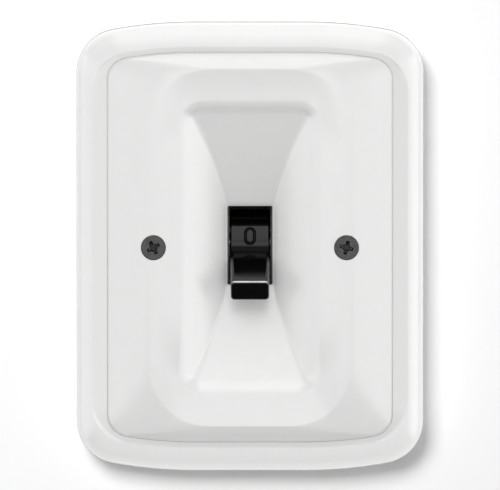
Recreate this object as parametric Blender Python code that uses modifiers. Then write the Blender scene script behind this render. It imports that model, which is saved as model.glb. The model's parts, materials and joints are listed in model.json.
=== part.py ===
# Three-pole wall switch, modelled at its real size in metres.
# X is to the right, Z is up and the wall's face is the plane Y = 0. The front faces -Y,
# and the mechanism reaches into the wall box towards +Y.
import math

import bmesh
import bpy
from mathutils import Matrix

MM = 0.001
GAP = 0.3 * MM                    # clearance between two pieces that touch on the real switch

# Surround frame
FRAME_HALF_WIDTH = 45.0 * MM
FRAME_HALF_HEIGHT = 58.35 * MM
FRAME_CORNER = 11.3 * MM
FRAME_HEIGHT = 11.0 * MM          # from the wall to the crest
FRAME_EDGE_HEIGHT = 6.4 * MM      # where the upright outer wall ends and the curve starts
FRAME_WALL = 2.1 * MM
CREST_SIDE = 4.2 * MM             # from the outline to the crest, at the sides
CREST_END = 6.25 * MM             # from the outline to the crest, at top and bottom
CREST_CORNER = 9.8 * MM
CROWN_FLAT = 14.3 * MM            # straight half length in the middle of the top edge
CROWN_RADIUS = 118.0 * MM         # the long arc of the top and bottom edges
WINDOW_HALF_WIDTH = 37.0 * MM
WINDOW_HALF_HEIGHT = 50.6 * MM
WINDOW_CORNER = 5.85 * MM
WINDOW_EDGE_HEIGHT = 9.8 * MM     # height of the window's edge above the wall
LIP_WIDTH = 2.8 * MM              # inner lip that the front cover rests on
LIP_HEIGHT = 7.2 * MM
LIP_THICKNESS = 2.0 * MM
LIP_ROOT = 0.6 * MM               # how far the lip's back runs under the band

# Front cover
FACE_HEIGHT = 11.5 * MM           # height of the flat face above the wall
COVER_CLEARANCE = 0.35 * MM       # visible groove between cover and frame
RIM_HEIGHT = 9.95 * MM            # height of the cover's rounded edge
RIM_ROUND = 0.5 * MM
COVER_WALL = 2.2 * MM
CUSHION_HALF_WIDTH = 27.0 * MM    # where the flat face ends and the fall to the rim starts
CUSHION_HALF_HEIGHT = 46.4 * MM
CUSHION_CORNER = 11.5 * MM
CUSHION_DROP = 0.26 * MM          # how far that line lies below the face
CALM_HALF_WIDTH = 23.6 * MM       # inside this line the face is flat
CALM_HALF_HEIGHT = 39.6 * MM
CALM_CORNER = 8.5 * MM
SKIRT_THICKNESS = 2.2 * MM

# Funnel in the cover
MOUTH_HALF_WIDTH = 18.4 * MM
MOUTH_HALF_HEIGHT = 38.0 * MM
MOUTH_CORNER = 5.6 * MM
STEP_WIDTH = 0.9 * MM             # small rounded step round the mouth
STEP_DROP = 0.42 * MM
BAND_WIDTH = 3.8 * MM             # from the mouth to where the side walls start
BAND_LENGTH = 5.6 * MM            # from the mouth to where the top and bottom slopes start
BAND_DROP = 1.6 * MM              # how far the band goes down from the face
BAND_CORNER = 1.9 * MM
SLOT_HALF_WIDTH = 5.85 * MM
SLOT_HALF_HEIGHT = 10.24 * MM
SLOT_DEPTH = 9.5 * MM             # from the face to the slot's front edge
SLOT_CHAMFER = 0.55 * MM
SLOT_CORNER = 0.4 * MM
FUNNEL_BOW = 1.33                 # power of the side walls' bow, 1 would be straight
BACK_CORNER = 3.4 * MM            # corner of the funnel's back at the face, and at the slot
SLOT_BACK_CORNER = 1.6 * MM

# Cover screws
COVER_HEAD_RADIUS = 3.2 * MM
COVER_HEAD_HEIGHT = 2.0 * MM
COVER_SHANK_RADIUS = 1.7 * MM
COVER_SCREW_LENGTH = 15.5 * MM
BOSS_RADIUS = 3.5 * MM
RECESS_HALF_LENGTH = 1.75 * MM
RECESS_HALF_WIDTH = 0.42 * MM
RECESS_DEPTH = 1.5 * MM

# Lever
LEVER_REST = math.radians(28.0)   # how far the handle points down when the switch is off
PIVOT_Y = 10.6 * MM
HUB_RADIUS = 9.7 * MM
HUB_WIDTH = 10.2 * MM
HANDLE_REACH = 24.9 * MM          # from the pivot to the handle's end
HANDLE_WIDTH = 10.4 * MM
HANDLE_TIP_WIDTH = 9.9 * MM
HANDLE_THICKNESS = 5.9 * MM
HANDLE_TIP_THICKNESS = 5.1 * MM
HANDLE_ROUND = 0.9 * MM
TAIL_REACH = 8.0 * MM
TAIL_HALF_THICKNESS = 3.3 * MM
PIVOT_PIN_RADIUS = 1.5 * MM
CRANK_RADIUS = 6.0 * MM           # from the pivot to the drive pin
DRIVE_PIN_RADIUS = 1.2 * MM

# Mounting strap
STRAP_HALF_WIDTH = 33.0 * MM
STRAP_HALF_HEIGHT = 37.0 * MM
STRAP_CORNER = 4.0 * MM
STRAP_THICKNESS = 1.2 * MM
STRAP_WINDOW_HALF_WIDTH = 12.2 * MM
STRAP_WINDOW_HALF_HEIGHT = 19.0 * MM
BOX_SCREW_Z = 30.0 * MM           # half of the 60 mm pitch of a wall box's screws
BOX_SLOT_HALF_LENGTH = 4.5 * MM
BOX_SLOT_RADIUS = 2.1 * MM
COLLAR_RADIUS = 3.2 * MM
COLLAR_LENGTH = 2.0 * MM          # drawn up from the strap towards the cover, and tapped
STRAP_SCREW_Z = 5.5 * MM
STRAP_SCREW_RADIUS = 1.5 * MM
STRAP_SCREW_LENGTH = 14.0 * MM
STRAP_HEAD_RADIUS = 2.8 * MM
STRAP_HEAD_HEIGHT = 1.9 * MM

# Bearing plate
PLATE_THICKNESS = 2.2 * MM
CHEEK_THICKNESS = 2.5 * MM
CHEEK_HALF_HEIGHT = 4.2 * MM

# Mechanism base
POLE_PITCH = 13.8 * MM            # from one pole's middle to the next
BASE_SIDE = 2.3 * MM              # what stands outside the outer poles
BASE_HALF_WIDTH = 1.5 * POLE_PITCH + BASE_SIDE
COVER_SCREW_X = BASE_HALF_WIDTH + COVER_SHANK_RADIUS + GAP  # the screws pass beside the base
STRAP_SCREW_INSET = 4.4 * MM      # from the base's side to the strap screws
STRAP_SCREW_X = BASE_HALF_WIDTH - STRAP_SCREW_INSET
BASE_HALF_HEIGHT = 23.0 * MM
BASE_CORNER_CUT = 4.0 * MM        # keeps the base inside a round 60 mm box
BASE_WALL = 1.8 * MM
BASE_BACK_Y = 36.0 * MM
CHAMBER_BACK_Y = 26.5 * MM
POCKET_FLOOR_Y = 29.5 * MM
CHAMBER_FLOOR_Z = -19.95 * MM
POCKET_EDGE_Z = 9.5 * MM          # inner edge of the terminal pockets
BARRIER_THICKNESS = 1.4 * MM
PILLAR_RADIUS = 2.4 * MM
PILLAR_DEPTH = 20.0 * MM

# Contact carrier
CARRIER_TRAVEL = 2.0 * CRANK_RADIUS * math.sin(LEVER_REST)
BEAM_FRONT_Y = 19.5 * MM
BEAM_DEPTH = 3.0 * MM
BEAM_TOP_Z = -1.0 * MM
BEAM_HEIGHT = 3.0 * MM
STEM_HALF_WIDTH = 1.6 * MM
STEM_DEPTH = 6.4 * MM
STEM_LENGTH = 9.2 * MM
STEM_WINDOW_DEPTH = 4.0 * MM
STEM_SILL = 1.4 * MM
STEM_WINDOW_HEIGHT = 6.3 * MM
EAR_THICKNESS = 2.2 * MM
EAR_FRONT_Y = 15.3 * MM
EAR_TOP = 1.8 * MM                # material above the drive pin's slot

# Contacts
BRIDGE_LENGTH = 10.9 * MM
BRIDGE_WIDTH = 3.4 * MM
BRIDGE_THICKNESS = 1.0 * MM
TIP_RADIUS = 1.3 * MM
TIP_HEIGHT = 0.7 * MM
TIP_OFFSET = 3.9 * MM             # from the pole's middle to a contact tip
SHEET = 0.8 * MM                  # thickness of the terminal strips
FOOT_WIDTH = 2.8 * MM
FOOT_FRONT_Y = 19.2 * MM
TERMINAL_Z = 15.5 * MM
TERMINAL_HALF_HEIGHT = 4.2 * MM
TERMINAL_INNER_EDGE = 4.0 * MM    # the plate's edge on the side away from its foot
CLAMP_SIZE = 8.2 * MM
CLAMP_THICKNESS = 1.0 * MM
CLAMP_LIP = 0.5 * MM
TERMINAL_SCREW_RADIUS = 1.6 * MM
TERMINAL_HEAD_RADIUS = 3.3 * MM
TERMINAL_HEAD_HEIGHT = 2.2 * MM
SLOT_TURNS = {"line": (64.0, 93.0, -12.0), "load": (-7.0, 22.0, 51.0)}    # degrees, by pole

# Springs
TOGGLE_SPRING_RADIUS = 1.7 * MM
TOGGLE_WIRE = 0.6 * MM
BRIDGE_SPRING_RADIUS = 1.25 * MM
BRIDGE_WIRE = 0.4 * MM
COIL_STEPS = 10                   # points in each turn of a coil
FLAT_TURN = 0.75                  # share of a turn at each end that is wound flat

POLES = {1: -POLE_PITCH, 2: 0.0, 3: POLE_PITCH}

CORNER_STEPS = 6                  # facets in each corner arc of a moulding's outline
CROWN_STEPS = 4                   # facets in each half of a crowned edge

# Where the pieces stand along Y
PLATE_FRONT_Y = GAP
PLATE_BACK_Y = PLATE_FRONT_Y + PLATE_THICKNESS
BASE_FRONT_Y = PLATE_BACK_Y + GAP
SLOT_Y = SLOT_DEPTH - FACE_HEIGHT
SLOT_BACK_Y = SLOT_Y + COVER_WALL
BEAM_MID_Y = BEAM_FRONT_Y + BEAM_DEPTH / 2
CHEEK_INNER_X = HUB_WIDTH / 2 + GAP
TERMINAL_PLATE_Y = POCKET_FLOOR_Y + GAP + SHEET / 2
CLAMP_Y = TERMINAL_PLATE_Y + SHEET / 2 + GAP + CLAMP_THICKNESS / 2
CONTACT_Y = BEAM_MID_Y
SILL_Z = BEAM_TOP_Z - BEAM_HEIGHT - STEM_LENGTH + STEM_SILL
BRIDGE_Z = SILL_Z + GAP + BRIDGE_THICKNESS / 2
FOOT_Z = CHAMBER_FLOOR_Z + GAP + SHEET / 2


def start_scene():
    for item in list(bpy.data.objects):
        bpy.data.objects.remove(item, do_unlink=True)
    parts = bpy.data.collections.new("three_pole_wall_switch")
    cutters = bpy.data.collections.new("cutters")
    bpy.context.scene.collection.children.link(parts)
    bpy.context.scene.collection.children.link(cutters)
    return parts, cutters


PARTS, CUTTERS = start_scene()


def material(name, color, roughness, metallic=0.0):
    made = bpy.data.materials.new(name)
    made.use_nodes = True
    shader = made.node_tree.nodes["Principled BSDF"]
    shader.inputs["Base Color"].default_value = (*color, 1.0)
    shader.inputs["Roughness"].default_value = roughness
    shader.inputs["Metallic"].default_value = metallic
    return made


def add_object(name, mesh, color, smooth_angle=30.0):
    item = bpy.data.objects.new(name, mesh)
    PARTS.objects.link(item)
    mesh.materials.clear()
    mesh.materials.append(material(name, *color))
    if smooth_angle:
        mesh.shade_smooth()
        mesh.set_sharp_from_angle(angle=math.radians(smooth_angle))
    return item


def add_helper(name, mesh):
    item = bpy.data.objects.new(name, mesh)
    item.hide_render = True
    item.display_type = "WIRE"
    CUTTERS.objects.link(item)
    return item


def combine(item, helper, operation):
    change = item.modifiers.new(helper.name, "BOOLEAN")
    change.operation = operation
    change.solver = "EXACT"
    change.object = helper
    return item


def cut(item, mesh, name):
    return combine(item, add_helper(item.name + "_" + name, mesh), "DIFFERENCE")


def join(item, mesh, name):
    return combine(item, add_helper(item.name + "_" + name, mesh), "UNION")


def mesh_from(builder):
    mesh = bpy.data.meshes.new("mesh")
    work = bmesh.new()
    builder(work)
    bmesh.ops.recalc_face_normals(work, faces=work.faces)
    if work.calc_volume(signed=True) < 0:
        bmesh.ops.reverse_faces(work, faces=work.faces)
    work.to_mesh(mesh)
    work.free()
    return mesh


def box(low, high):
    def build(work):
        bmesh.ops.create_cube(work, size=1.0)
        for vert in work.verts:
            for axis in range(3):
                middle = (low[axis] + high[axis]) / 2
                vert.co[axis] = middle + vert.co[axis] * (high[axis] - low[axis])
    return mesh_from(build)


TURN_TO = {
    "X": Matrix.Rotation(math.pi / 2, 4, "Y"),
    "Y": Matrix.Rotation(-math.pi / 2, 4, "X"),
    "Z": Matrix.Identity(4),
}


def cylinder(radius, start, end, axis="Y", at=(0.0, 0.0), top_radius=None, sides=24):
    # A round bar or cone from start to end along an axis; `at` holds its other two coordinates.
    places = {"X": ((start + end) / 2, *at), "Y": (at[0], (start + end) / 2, at[1]),
              "Z": (*at, (start + end) / 2)}
    end_radius = radius if top_radius is None else top_radius

    def build(work):
        place = Matrix.Translation(places[axis]) @ TURN_TO[axis]
        bmesh.ops.create_cone(work, cap_ends=True, segments=sides, radius1=radius,
                              radius2=end_radius, depth=end - start, matrix=place)
    return mesh_from(build)


def spindle(profile, at, sides=24):
    # A closed solid of revolution along Y through `at`; the profile holds (radius, y) points.
    def build(work):
        rows = []
        for radius, y in profile:
            turns = [math.tau * side / sides for side in range(sides)]
            rows.append([work.verts.new((at[0] + radius * math.cos(turn), y,
                                         at[1] + radius * math.sin(turn))) for turn in turns])
        for row, after in zip(rows, rows[1:]):
            for place in range(sides):
                beside = (place + 1) % sides
                work.faces.new((row[place], row[beside], after[beside], after[place]))
        work.faces.new(rows[0])
        work.faces.new(rows[-1])
    return mesh_from(build)


def extrude_outline(points, start, end, axis="Y"):
    # A flat outline pushed from start to end; points are (x, z) along Y and (y, z) along X.
    def place(point, along):
        if axis == "Y":
            return (point[0], along, point[1])
        return (along, point[0], point[1])

    def build(work):
        face = work.faces.new([work.verts.new(place(point, start)) for point in points])
        pushed = bmesh.ops.extrude_face_region(work, geom=[face])
        shift = [0.0, 0.0, 0.0]
        shift["XYZ".index(axis)] = end - start
        moved = [part for part in pushed["geom"] if isinstance(part, bmesh.types.BMVert)]
        bmesh.ops.translate(work, verts=moved, vec=shift)
    return mesh_from(build)


def arc(center, radius, start, end, steps):
    return [(center[0] + radius * math.cos(start + (end - start) * step / steps),
             center[1] + radius * math.sin(start + (end - start) * step / steps))
            for step in range(steps + 1)]


def quarter(half_width, half_height, corner, crown):
    # One quarter of an outline, from the side to the top: a corner arc and then either the
    # long crown arc with its straight middle, or a straight edge with evenly spaced points.
    side_x = half_width - corner
    if crown:
        base_z = half_height - crown
        rise = math.sqrt((crown - corner) ** 2 - (side_x - CROWN_FLAT) ** 2)
        turn = math.atan2(rise, side_x - CROWN_FLAT)
        points = arc((side_x, base_z + rise), corner, 0.0, turn, CORNER_STEPS)
        return points + arc((CROWN_FLAT, base_z), crown, turn, math.pi / 2, CROWN_STEPS)[1:]
    points = arc((side_x, half_height - corner), corner, 0.0, math.pi / 2, CORNER_STEPS)
    steps = CROWN_STEPS + 1
    return points + [(side_x * (1 - step / steps), half_height) for step in range(1, steps)]


def outline(half_width, half_height, corner, crown=None):
    # The whole outline as (x, z) points, with the middle of each side as a point of its own.
    part = quarter(half_width, half_height, corner, crown)
    back = part[::-1]
    return ([(half_width, 0.0)] + part + [(0.0, half_height)] + [(-x, z) for x, z in back]
            + [(-half_width, 0.0)] + [(-x, -z) for x, z in part] + [(0.0, -half_height)]
            + [(x, -z) for x, z in back])


def loft(rings):
    # Skin a closed series of outlines, each given as (points, y), into one ring-shaped solid.
    def build(work):
        rows = [[work.verts.new((x, y, z)) for x, z in points] for points, y in rings]
        for row, after in zip(rows, rows[1:] + rows[:1]):
            for place, vert in enumerate(row):
                beside = (place + 1) % len(row)
                work.faces.new((vert, row[beside], after[beside], after[place]))
    return mesh_from(build)


WHITE_FRAME = ((0.80, 0.80, 0.79), 0.22)
WHITE_COVER = ((0.80, 0.80, 0.79), 0.22)
BLACK = ((0.012, 0.012, 0.013), 0.12)
PHENOLIC = ((0.035, 0.03, 0.028), 0.45)
IVORY = ((0.62, 0.58, 0.47), 0.4)
ZINC = ((0.62, 0.63, 0.65), 0.35, 1.0)
DARK_STEEL = ((0.12, 0.12, 0.125), 0.35, 1.0)
BRASS = ((0.72, 0.52, 0.22), 0.3, 1.0)
COPPER = ((0.72, 0.4, 0.26), 0.3, 1.0)
SPRING_STEEL = ((0.45, 0.45, 0.46), 0.3, 1.0)


def blend(first, last, share):
    return first + (last - first) * share


def frame_outline(inset):
    return outline(FRAME_HALF_WIDTH - inset, FRAME_HALF_HEIGHT - inset,
                   FRAME_CORNER - inset / 2, CROWN_RADIUS - inset)


def band_outline(share):
    # Between the frame's outline, at 0, and its crest, at 1.
    return outline(FRAME_HALF_WIDTH - CREST_SIDE * share, FRAME_HALF_HEIGHT - CREST_END * share,
                   blend(FRAME_CORNER, CREST_CORNER, share),
                   CROWN_RADIUS - CREST_END * share)


def window_outline(inset):
    return outline(WINDOW_HALF_WIDTH - inset, WINDOW_HALF_HEIGHT - inset,
                   WINDOW_CORNER - inset / 2,
                   CROWN_RADIUS - (FRAME_HALF_HEIGHT - WINDOW_HALF_HEIGHT) - inset)


def make_surround_frame():
    # Band heights follow a convex curve from the outer wall's top to the crest.
    band = [(share, -blend(FRAME_EDGE_HEIGHT, FRAME_HEIGHT, math.sqrt(1 - (1 - share) ** 2)))
            for share in (0.0, 0.07, 0.2, 0.4, 0.65, 0.85, 1.0)]
    lip_back = LIP_HEIGHT - LIP_THICKNESS
    rings = [(frame_outline(0.0), 0.0)]
    rings += [(band_outline(share), y) for share, y in band]
    rings += [
        (window_outline(-0.15 * MM), -WINDOW_EDGE_HEIGHT),
        (window_outline(0.0), -WINDOW_EDGE_HEIGHT + 0.2 * MM),
        (window_outline(0.0), -LIP_HEIGHT),
        (window_outline(LIP_WIDTH), -LIP_HEIGHT),
        (window_outline(LIP_WIDTH), -lip_back),
        (window_outline(-LIP_ROOT), -lip_back),
        (band_outline(0.82), -FRAME_HEIGHT + FRAME_WALL + 0.3 * MM),
        (band_outline(0.6), -FRAME_HEIGHT + FRAME_WALL + 0.9 * MM),
        (frame_outline(FRAME_WALL), -FRAME_EDGE_HEIGHT),
        (frame_outline(FRAME_WALL), 0.0),
    ]
    return add_object("surround_frame", loft(rings), WHITE_FRAME)


def funnel_share(y):
    # 0 where the funnel's walls start below the mouth's band, 1 at the slot.
    return (y + FACE_HEIGHT - BAND_DROP) / (SLOT_DEPTH - BAND_DROP)


def funnel_half_width(y):
    # The side walls bow inwards: they are steepest at the slot.
    far = max(0.0, 1 - funnel_share(y)) ** FUNNEL_BOW
    edge = SLOT_HALF_WIDTH + SLOT_CHAMFER
    return edge + (MOUTH_HALF_WIDTH - BAND_WIDTH - edge) * far


def funnel_half_height(y):
    # The top and bottom slopes are flat.
    edge = SLOT_HALF_HEIGHT + SLOT_CHAMFER
    return blend(MOUTH_HALF_HEIGHT - BAND_LENGTH, edge, funnel_share(y))


def mouth_rings():
    # A small step with rounded edges, and then the gentle band.
    rings = []
    for share in (0.0, 0.3, 0.65, 1.0):
        inset = STEP_WIDTH * share
        drop = STEP_DROP * (1 - math.cos(math.pi * share)) / 2
        rings.append((outline(MOUTH_HALF_WIDTH - inset, MOUTH_HALF_HEIGHT - inset,
                              MOUTH_CORNER - inset), drop - FACE_HEIGHT))
    for share in (0.5, 1.0):
        across = blend(STEP_WIDTH, BAND_WIDTH, share)
        along = blend(STEP_WIDTH, BAND_LENGTH, share)
        corner = blend(MOUTH_CORNER - STEP_WIDTH, BAND_CORNER, share)
        rings.append((outline(MOUTH_HALF_WIDTH - across, MOUTH_HALF_HEIGHT - along, corner),
                      blend(STEP_DROP, BAND_DROP, share) - FACE_HEIGHT))
    return rings


def funnel_rings():
    rings = []
    for share in (0.12, 0.25, 0.4, 0.55, 0.7, 0.85, 1.0):
        y = blend(BAND_DROP, SLOT_DEPTH, share) - FACE_HEIGHT
        corner = blend(SLOT_CORNER, BAND_CORNER, (1 - share) ** 2)
        rings.append((outline(funnel_half_width(y), funnel_half_height(y), corner), y))
    return rings


def funnel_back_rings():
    # The back of the funnel, one wall behind its front, from the slot out to the face. Its
    # sides stand off further at the face, where the front turns into the band.
    rings = []
    upright = COVER_WALL / math.cos(math.atan2(SLOT_DEPTH, MOUTH_HALF_HEIGHT - SLOT_HALF_HEIGHT))
    first = -FACE_HEIGHT + COVER_WALL
    for share in (0.95, 0.7, 0.45, 0.22, 0.0):
        y = blend(first, SLOT_BACK_Y - 0.3 * MM, share)
        half_width = funnel_half_width(y) + COVER_WALL * blend(1.6, 1.05, share)
        half_height = funnel_half_height(y - upright)
        corner = blend(BACK_CORNER, SLOT_BACK_CORNER, share)
        rings.append((outline(half_width, half_height, corner), y))
    return rings


def make_front_cover():
    skirt_end = -LIP_HEIGHT - GAP
    inner = COVER_CLEARANCE + SKIRT_THICKNESS
    slot_outer = COVER_WALL * 0.75
    rings = [
        (window_outline(COVER_CLEARANCE), skirt_end),
        (window_outline(COVER_CLEARANCE), -RIM_HEIGHT + RIM_ROUND),
        (window_outline(COVER_CLEARANCE + 0.15 * RIM_ROUND), -RIM_HEIGHT + 0.4 * RIM_ROUND),
        (window_outline(COVER_CLEARANCE + RIM_ROUND), -RIM_HEIGHT),
        (outline(CUSHION_HALF_WIDTH, CUSHION_HALF_HEIGHT, CUSHION_CORNER),
         -FACE_HEIGHT + CUSHION_DROP),
        (outline(blend(CUSHION_HALF_WIDTH, CALM_HALF_WIDTH, 0.5),
                 blend(CUSHION_HALF_HEIGHT, CALM_HALF_HEIGHT, 0.5),
                 blend(CUSHION_CORNER, CALM_CORNER, 0.5)), -FACE_HEIGHT + CUSHION_DROP / 4),
        (outline(CALM_HALF_WIDTH, CALM_HALF_HEIGHT, CALM_CORNER), -FACE_HEIGHT),
    ]
    rings += mouth_rings() + funnel_rings()
    rings += [
        (outline(SLOT_HALF_WIDTH, SLOT_HALF_HEIGHT, SLOT_CORNER), SLOT_Y + SLOT_CHAMFER),
        (outline(SLOT_HALF_WIDTH, SLOT_HALF_HEIGHT, SLOT_CORNER), SLOT_BACK_Y),
        (outline(SLOT_HALF_WIDTH + slot_outer, SLOT_HALF_HEIGHT + slot_outer, SLOT_BACK_CORNER),
         SLOT_BACK_Y),
    ]
    rings += funnel_back_rings()
    rings += [
        (outline(CUSHION_HALF_WIDTH, CUSHION_HALF_HEIGHT - 2.0 * MM, CUSHION_CORNER),
         -FACE_HEIGHT + COVER_WALL),
        (window_outline(inner), -RIM_HEIGHT + COVER_WALL * 0.75),
        (window_outline(inner), skirt_end),
    ]
    cover = add_object("front_cover", loft(rings), WHITE_COVER)
    boss_back = -STRAP_THICKNESS - COLLAR_LENGTH - GAP
    sides = (("left", -COVER_SCREW_X), ("right", COVER_SCREW_X))
    for side, x in sides:
        join(cover, cylinder(BOSS_RADIUS, -FACE_HEIGHT + COVER_WALL * 0.6, boss_back, at=(x, 0.0)),
             "boss_" + side)
    bore = COVER_SHANK_RADIUS + GAP
    head = COVER_HEAD_RADIUS + GAP / 2
    seat_y = -FACE_HEIGHT + COVER_HEAD_HEIGHT + GAP
    for side, x in sides:
        cut(cover, spindle([(head, -FACE_HEIGHT - 1.0 * MM), (head, -FACE_HEIGHT + 0.2 * MM),
                            (bore, seat_y), (bore, boss_back + 1.0 * MM)], (x, 0.0)),
            "bore_" + side)
    return cover


def turned(name, profile, color, place, axis="Y", steps=24):
    # A profile of (radius, height) points from the top of the axis to its foot, turned round Z
    # by a Screw modifier and then laid along the wanted axis.
    mesh = bpy.data.meshes.new(name)
    work = bmesh.new()
    verts = [work.verts.new((radius, 0.0, height)) for radius, height in profile]
    for vert, after in zip(verts, verts[1:]):
        work.edges.new((vert, after))
    work.to_mesh(mesh)
    work.free()
    item = add_object(name, mesh, color, smooth_angle=None)
    item.matrix_world = Matrix.Translation(place) @ TURN_TO[axis]
    screw = item.modifiers.new("turn", "SCREW")
    screw.axis = "Z"
    screw.steps = steps
    screw.render_steps = steps
    screw.use_merge_vertices = True
    screw.merge_threshold = 0.00001
    screw.use_normal_calculate = True
    return item


def cross_recess(item, x, head_y, turn):
    # Two crossed slots that narrow towards the bottom, cut into a head that faces -Y.
    for arm in range(2):
        angle = turn + arm * math.pi / 2

        def build(work):
            bmesh.ops.create_cube(work, size=1.0)
            for vert in work.verts:
                deep = vert.co.z < 0
                shrink = 0.5 if deep else 1.0
                along = vert.co.x * 2 * RECESS_HALF_LENGTH * shrink
                across = vert.co.y * 2 * RECESS_HALF_WIDTH * shrink
                vert.co.x = x + along * math.cos(angle) - across * math.sin(angle)
                vert.co.z = along * math.sin(angle) + across * math.cos(angle)
                vert.co.y = head_y + (RECESS_DEPTH if deep else -0.2 * MM)
        cut(item, mesh_from(build), "recess_" + str(arm))


def make_cover_screw(name, x, turn):
    # Countersunk head flush with the cover's face, with a cross recess.
    head_y = -FACE_HEIGHT + 0.08 * MM
    tip = 0.8 * MM
    profile = [(0.0, COVER_SCREW_LENGTH), (COVER_SHANK_RADIUS - tip / 2, COVER_SCREW_LENGTH),
               (COVER_SHANK_RADIUS, COVER_SCREW_LENGTH - tip),
               (COVER_SHANK_RADIUS, COVER_HEAD_HEIGHT),
               (COVER_HEAD_RADIUS, 0.25 * MM), (COVER_HEAD_RADIUS - 0.15 * MM, 0.0), (0.0, 0.0)]
    screw = turned(name, profile, DARK_STEEL, (x, head_y, 0.0))
    cross_recess(screw, x, head_y, turn)


def make_slotted_screw(name, x, z, seat_y, facing, head_radius, head_height, shank_radius,
                       length, color, slot_turn=0.0):
    # A cheese-head screw. `facing` is -1 where the head looks towards -Y, and 1 towards +Y.
    profile = [(0.0, length), (shank_radius - 0.3 * MM, length), (shank_radius, length - 0.4 * MM),
               (shank_radius, 0.0), (head_radius, 0.0), (head_radius, 0.35 * MM - head_height),
               (head_radius - 0.35 * MM, -head_height), (0.0, -head_height)]
    if facing > 0:
        profile = [(radius, -height) for radius, height in reversed(profile)]
    screw = turned(name, profile, color, (x, seat_y, z), steps=16)
    top_y = seat_y + facing * head_height
    half_slot, slot_depth = 0.45 * MM, head_height * 0.45
    reach = head_radius * 1.2
    low_y, high_y = sorted((top_y - facing * slot_depth, top_y + facing * 0.5 * MM))

    def build(work):
        bmesh.ops.create_cube(work, size=1.0)
        for vert in work.verts:
            along = vert.co.x * 2 * reach
            across = vert.co.z * 2 * half_slot
            vert.co.x = x + along * math.cos(slot_turn) - across * math.sin(slot_turn)
            vert.co.z = z + along * math.sin(slot_turn) + across * math.cos(slot_turn)
            vert.co.y = high_y if vert.co.y > 0 else low_y
    return cut(screw, mesh_from(build), "slot")


def make_mounting_strap():
    plate = extrude_outline(outline(STRAP_HALF_WIDTH, STRAP_HALF_HEIGHT, STRAP_CORNER),
                            -STRAP_THICKNESS, 0.0)
    strap = add_object("mounting_strap", plate, ZINC)
    through = (-STRAP_THICKNESS - COLLAR_LENGTH - 1.0 * MM, 1.0 * MM)
    window = outline(STRAP_WINDOW_HALF_WIDTH, STRAP_WINDOW_HALF_HEIGHT, 3.0 * MM)
    cut(strap, extrude_outline(window, *through), "window")
    for end, z in (("top", BOX_SCREW_Z), ("bottom", -BOX_SCREW_Z)):
        slot = outline(BOX_SLOT_HALF_LENGTH, BOX_SLOT_RADIUS, BOX_SLOT_RADIUS * 0.999)
        cut(strap, extrude_outline([(x, z + dz) for x, dz in slot], *through), "slot_" + end)
    for side, x in (("left", -COVER_SCREW_X), ("right", COVER_SCREW_X)):
        join(strap, cylinder(COLLAR_RADIUS, -STRAP_THICKNESS - COLLAR_LENGTH, -STRAP_THICKNESS / 2,
                             at=(x, 0.0)),
             "collar_" + side)
        cut(strap, cylinder(COVER_SHANK_RADIUS + GAP, *through, at=(x, 0.0)), "thread_" + side)
    for name, x, z in strap_screw_places():
        cut(strap, cylinder(STRAP_SCREW_RADIUS + GAP, *through, at=(x, z), sides=16),
            "hole_" + name)
    return strap


def strap_screw_places():
    return (("strap_screw_1", -STRAP_SCREW_X, STRAP_SCREW_Z),
            ("strap_screw_2", STRAP_SCREW_X, -STRAP_SCREW_Z))


def corner_cut_outline(inset):
    # The base's outline: a rectangle whose corners are cut at 45 degrees.
    half_width = BASE_HALF_WIDTH - inset
    half_height = BASE_HALF_HEIGHT - inset
    cut_off = BASE_CORNER_CUT - inset * (2 - math.sqrt(2))
    return [(half_width, half_height - cut_off), (half_width - cut_off, half_height),
            (cut_off - half_width, half_height), (-half_width, half_height - cut_off),
            (-half_width, cut_off - half_height), (cut_off - half_width, -half_height),
            (half_width - cut_off, -half_height), (half_width, cut_off - half_height)]


def chamber_outline():
    # One wall inside the base's outline, with a raised floor under the contact feet.
    points = []
    for x, z in corner_cut_outline(BASE_WALL):
        below = max(0.0, CHAMBER_FLOOR_Z - z)
        points.append((x + math.copysign(below, x), z + below))
    return points


def make_bearing_plate():
    # The insulating plate behind the strap; two cheeks on its back carry the pivot pin.
    plate = add_object("bearing_plate", extrude_outline(corner_cut_outline(0.0), PLATE_FRONT_Y,
                                                        PLATE_BACK_Y), PHENOLIC)
    for side in (-1, 1):
        inner = side * CHEEK_INNER_X
        outer = side * (CHEEK_INNER_X + CHEEK_THICKNESS)
        end = arc((PIVOT_Y, 0.0), CHEEK_HALF_HEIGHT, math.pi / 2, -math.pi / 2, 12)
        root = PLATE_FRONT_Y + PLATE_THICKNESS / 2
        cheek = [(root, CHEEK_HALF_HEIGHT)] + end + [(root, -CHEEK_HALF_HEIGHT)]
        join(plate, extrude_outline(cheek, inner, outer, axis="X"), "cheek_" + str(side + 1))
    cut(plate, box((-CHEEK_INNER_X, PLATE_FRONT_Y - 1.0 * MM, -HUB_RADIUS - 1.2 * MM),
                   (CHEEK_INNER_X, PLATE_BACK_Y + 1.0 * MM, HUB_RADIUS + 1.2 * MM)), "window")
    reach = CHEEK_INNER_X + CHEEK_THICKNESS + 1.0 * MM
    cut(plate, cylinder(PIVOT_PIN_RADIUS + GAP, -reach, reach, axis="X", at=(PIVOT_Y, 0.0),
                        sides=16), "pin_bore")
    for name, x, z in strap_screw_places():
        cut(plate, cylinder(STRAP_SCREW_RADIUS + GAP, PLATE_FRONT_Y - 1.0 * MM,
                            PLATE_BACK_Y + 1.0 * MM, at=(x, z), sides=16), "hole_" + name)
    return plate


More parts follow.
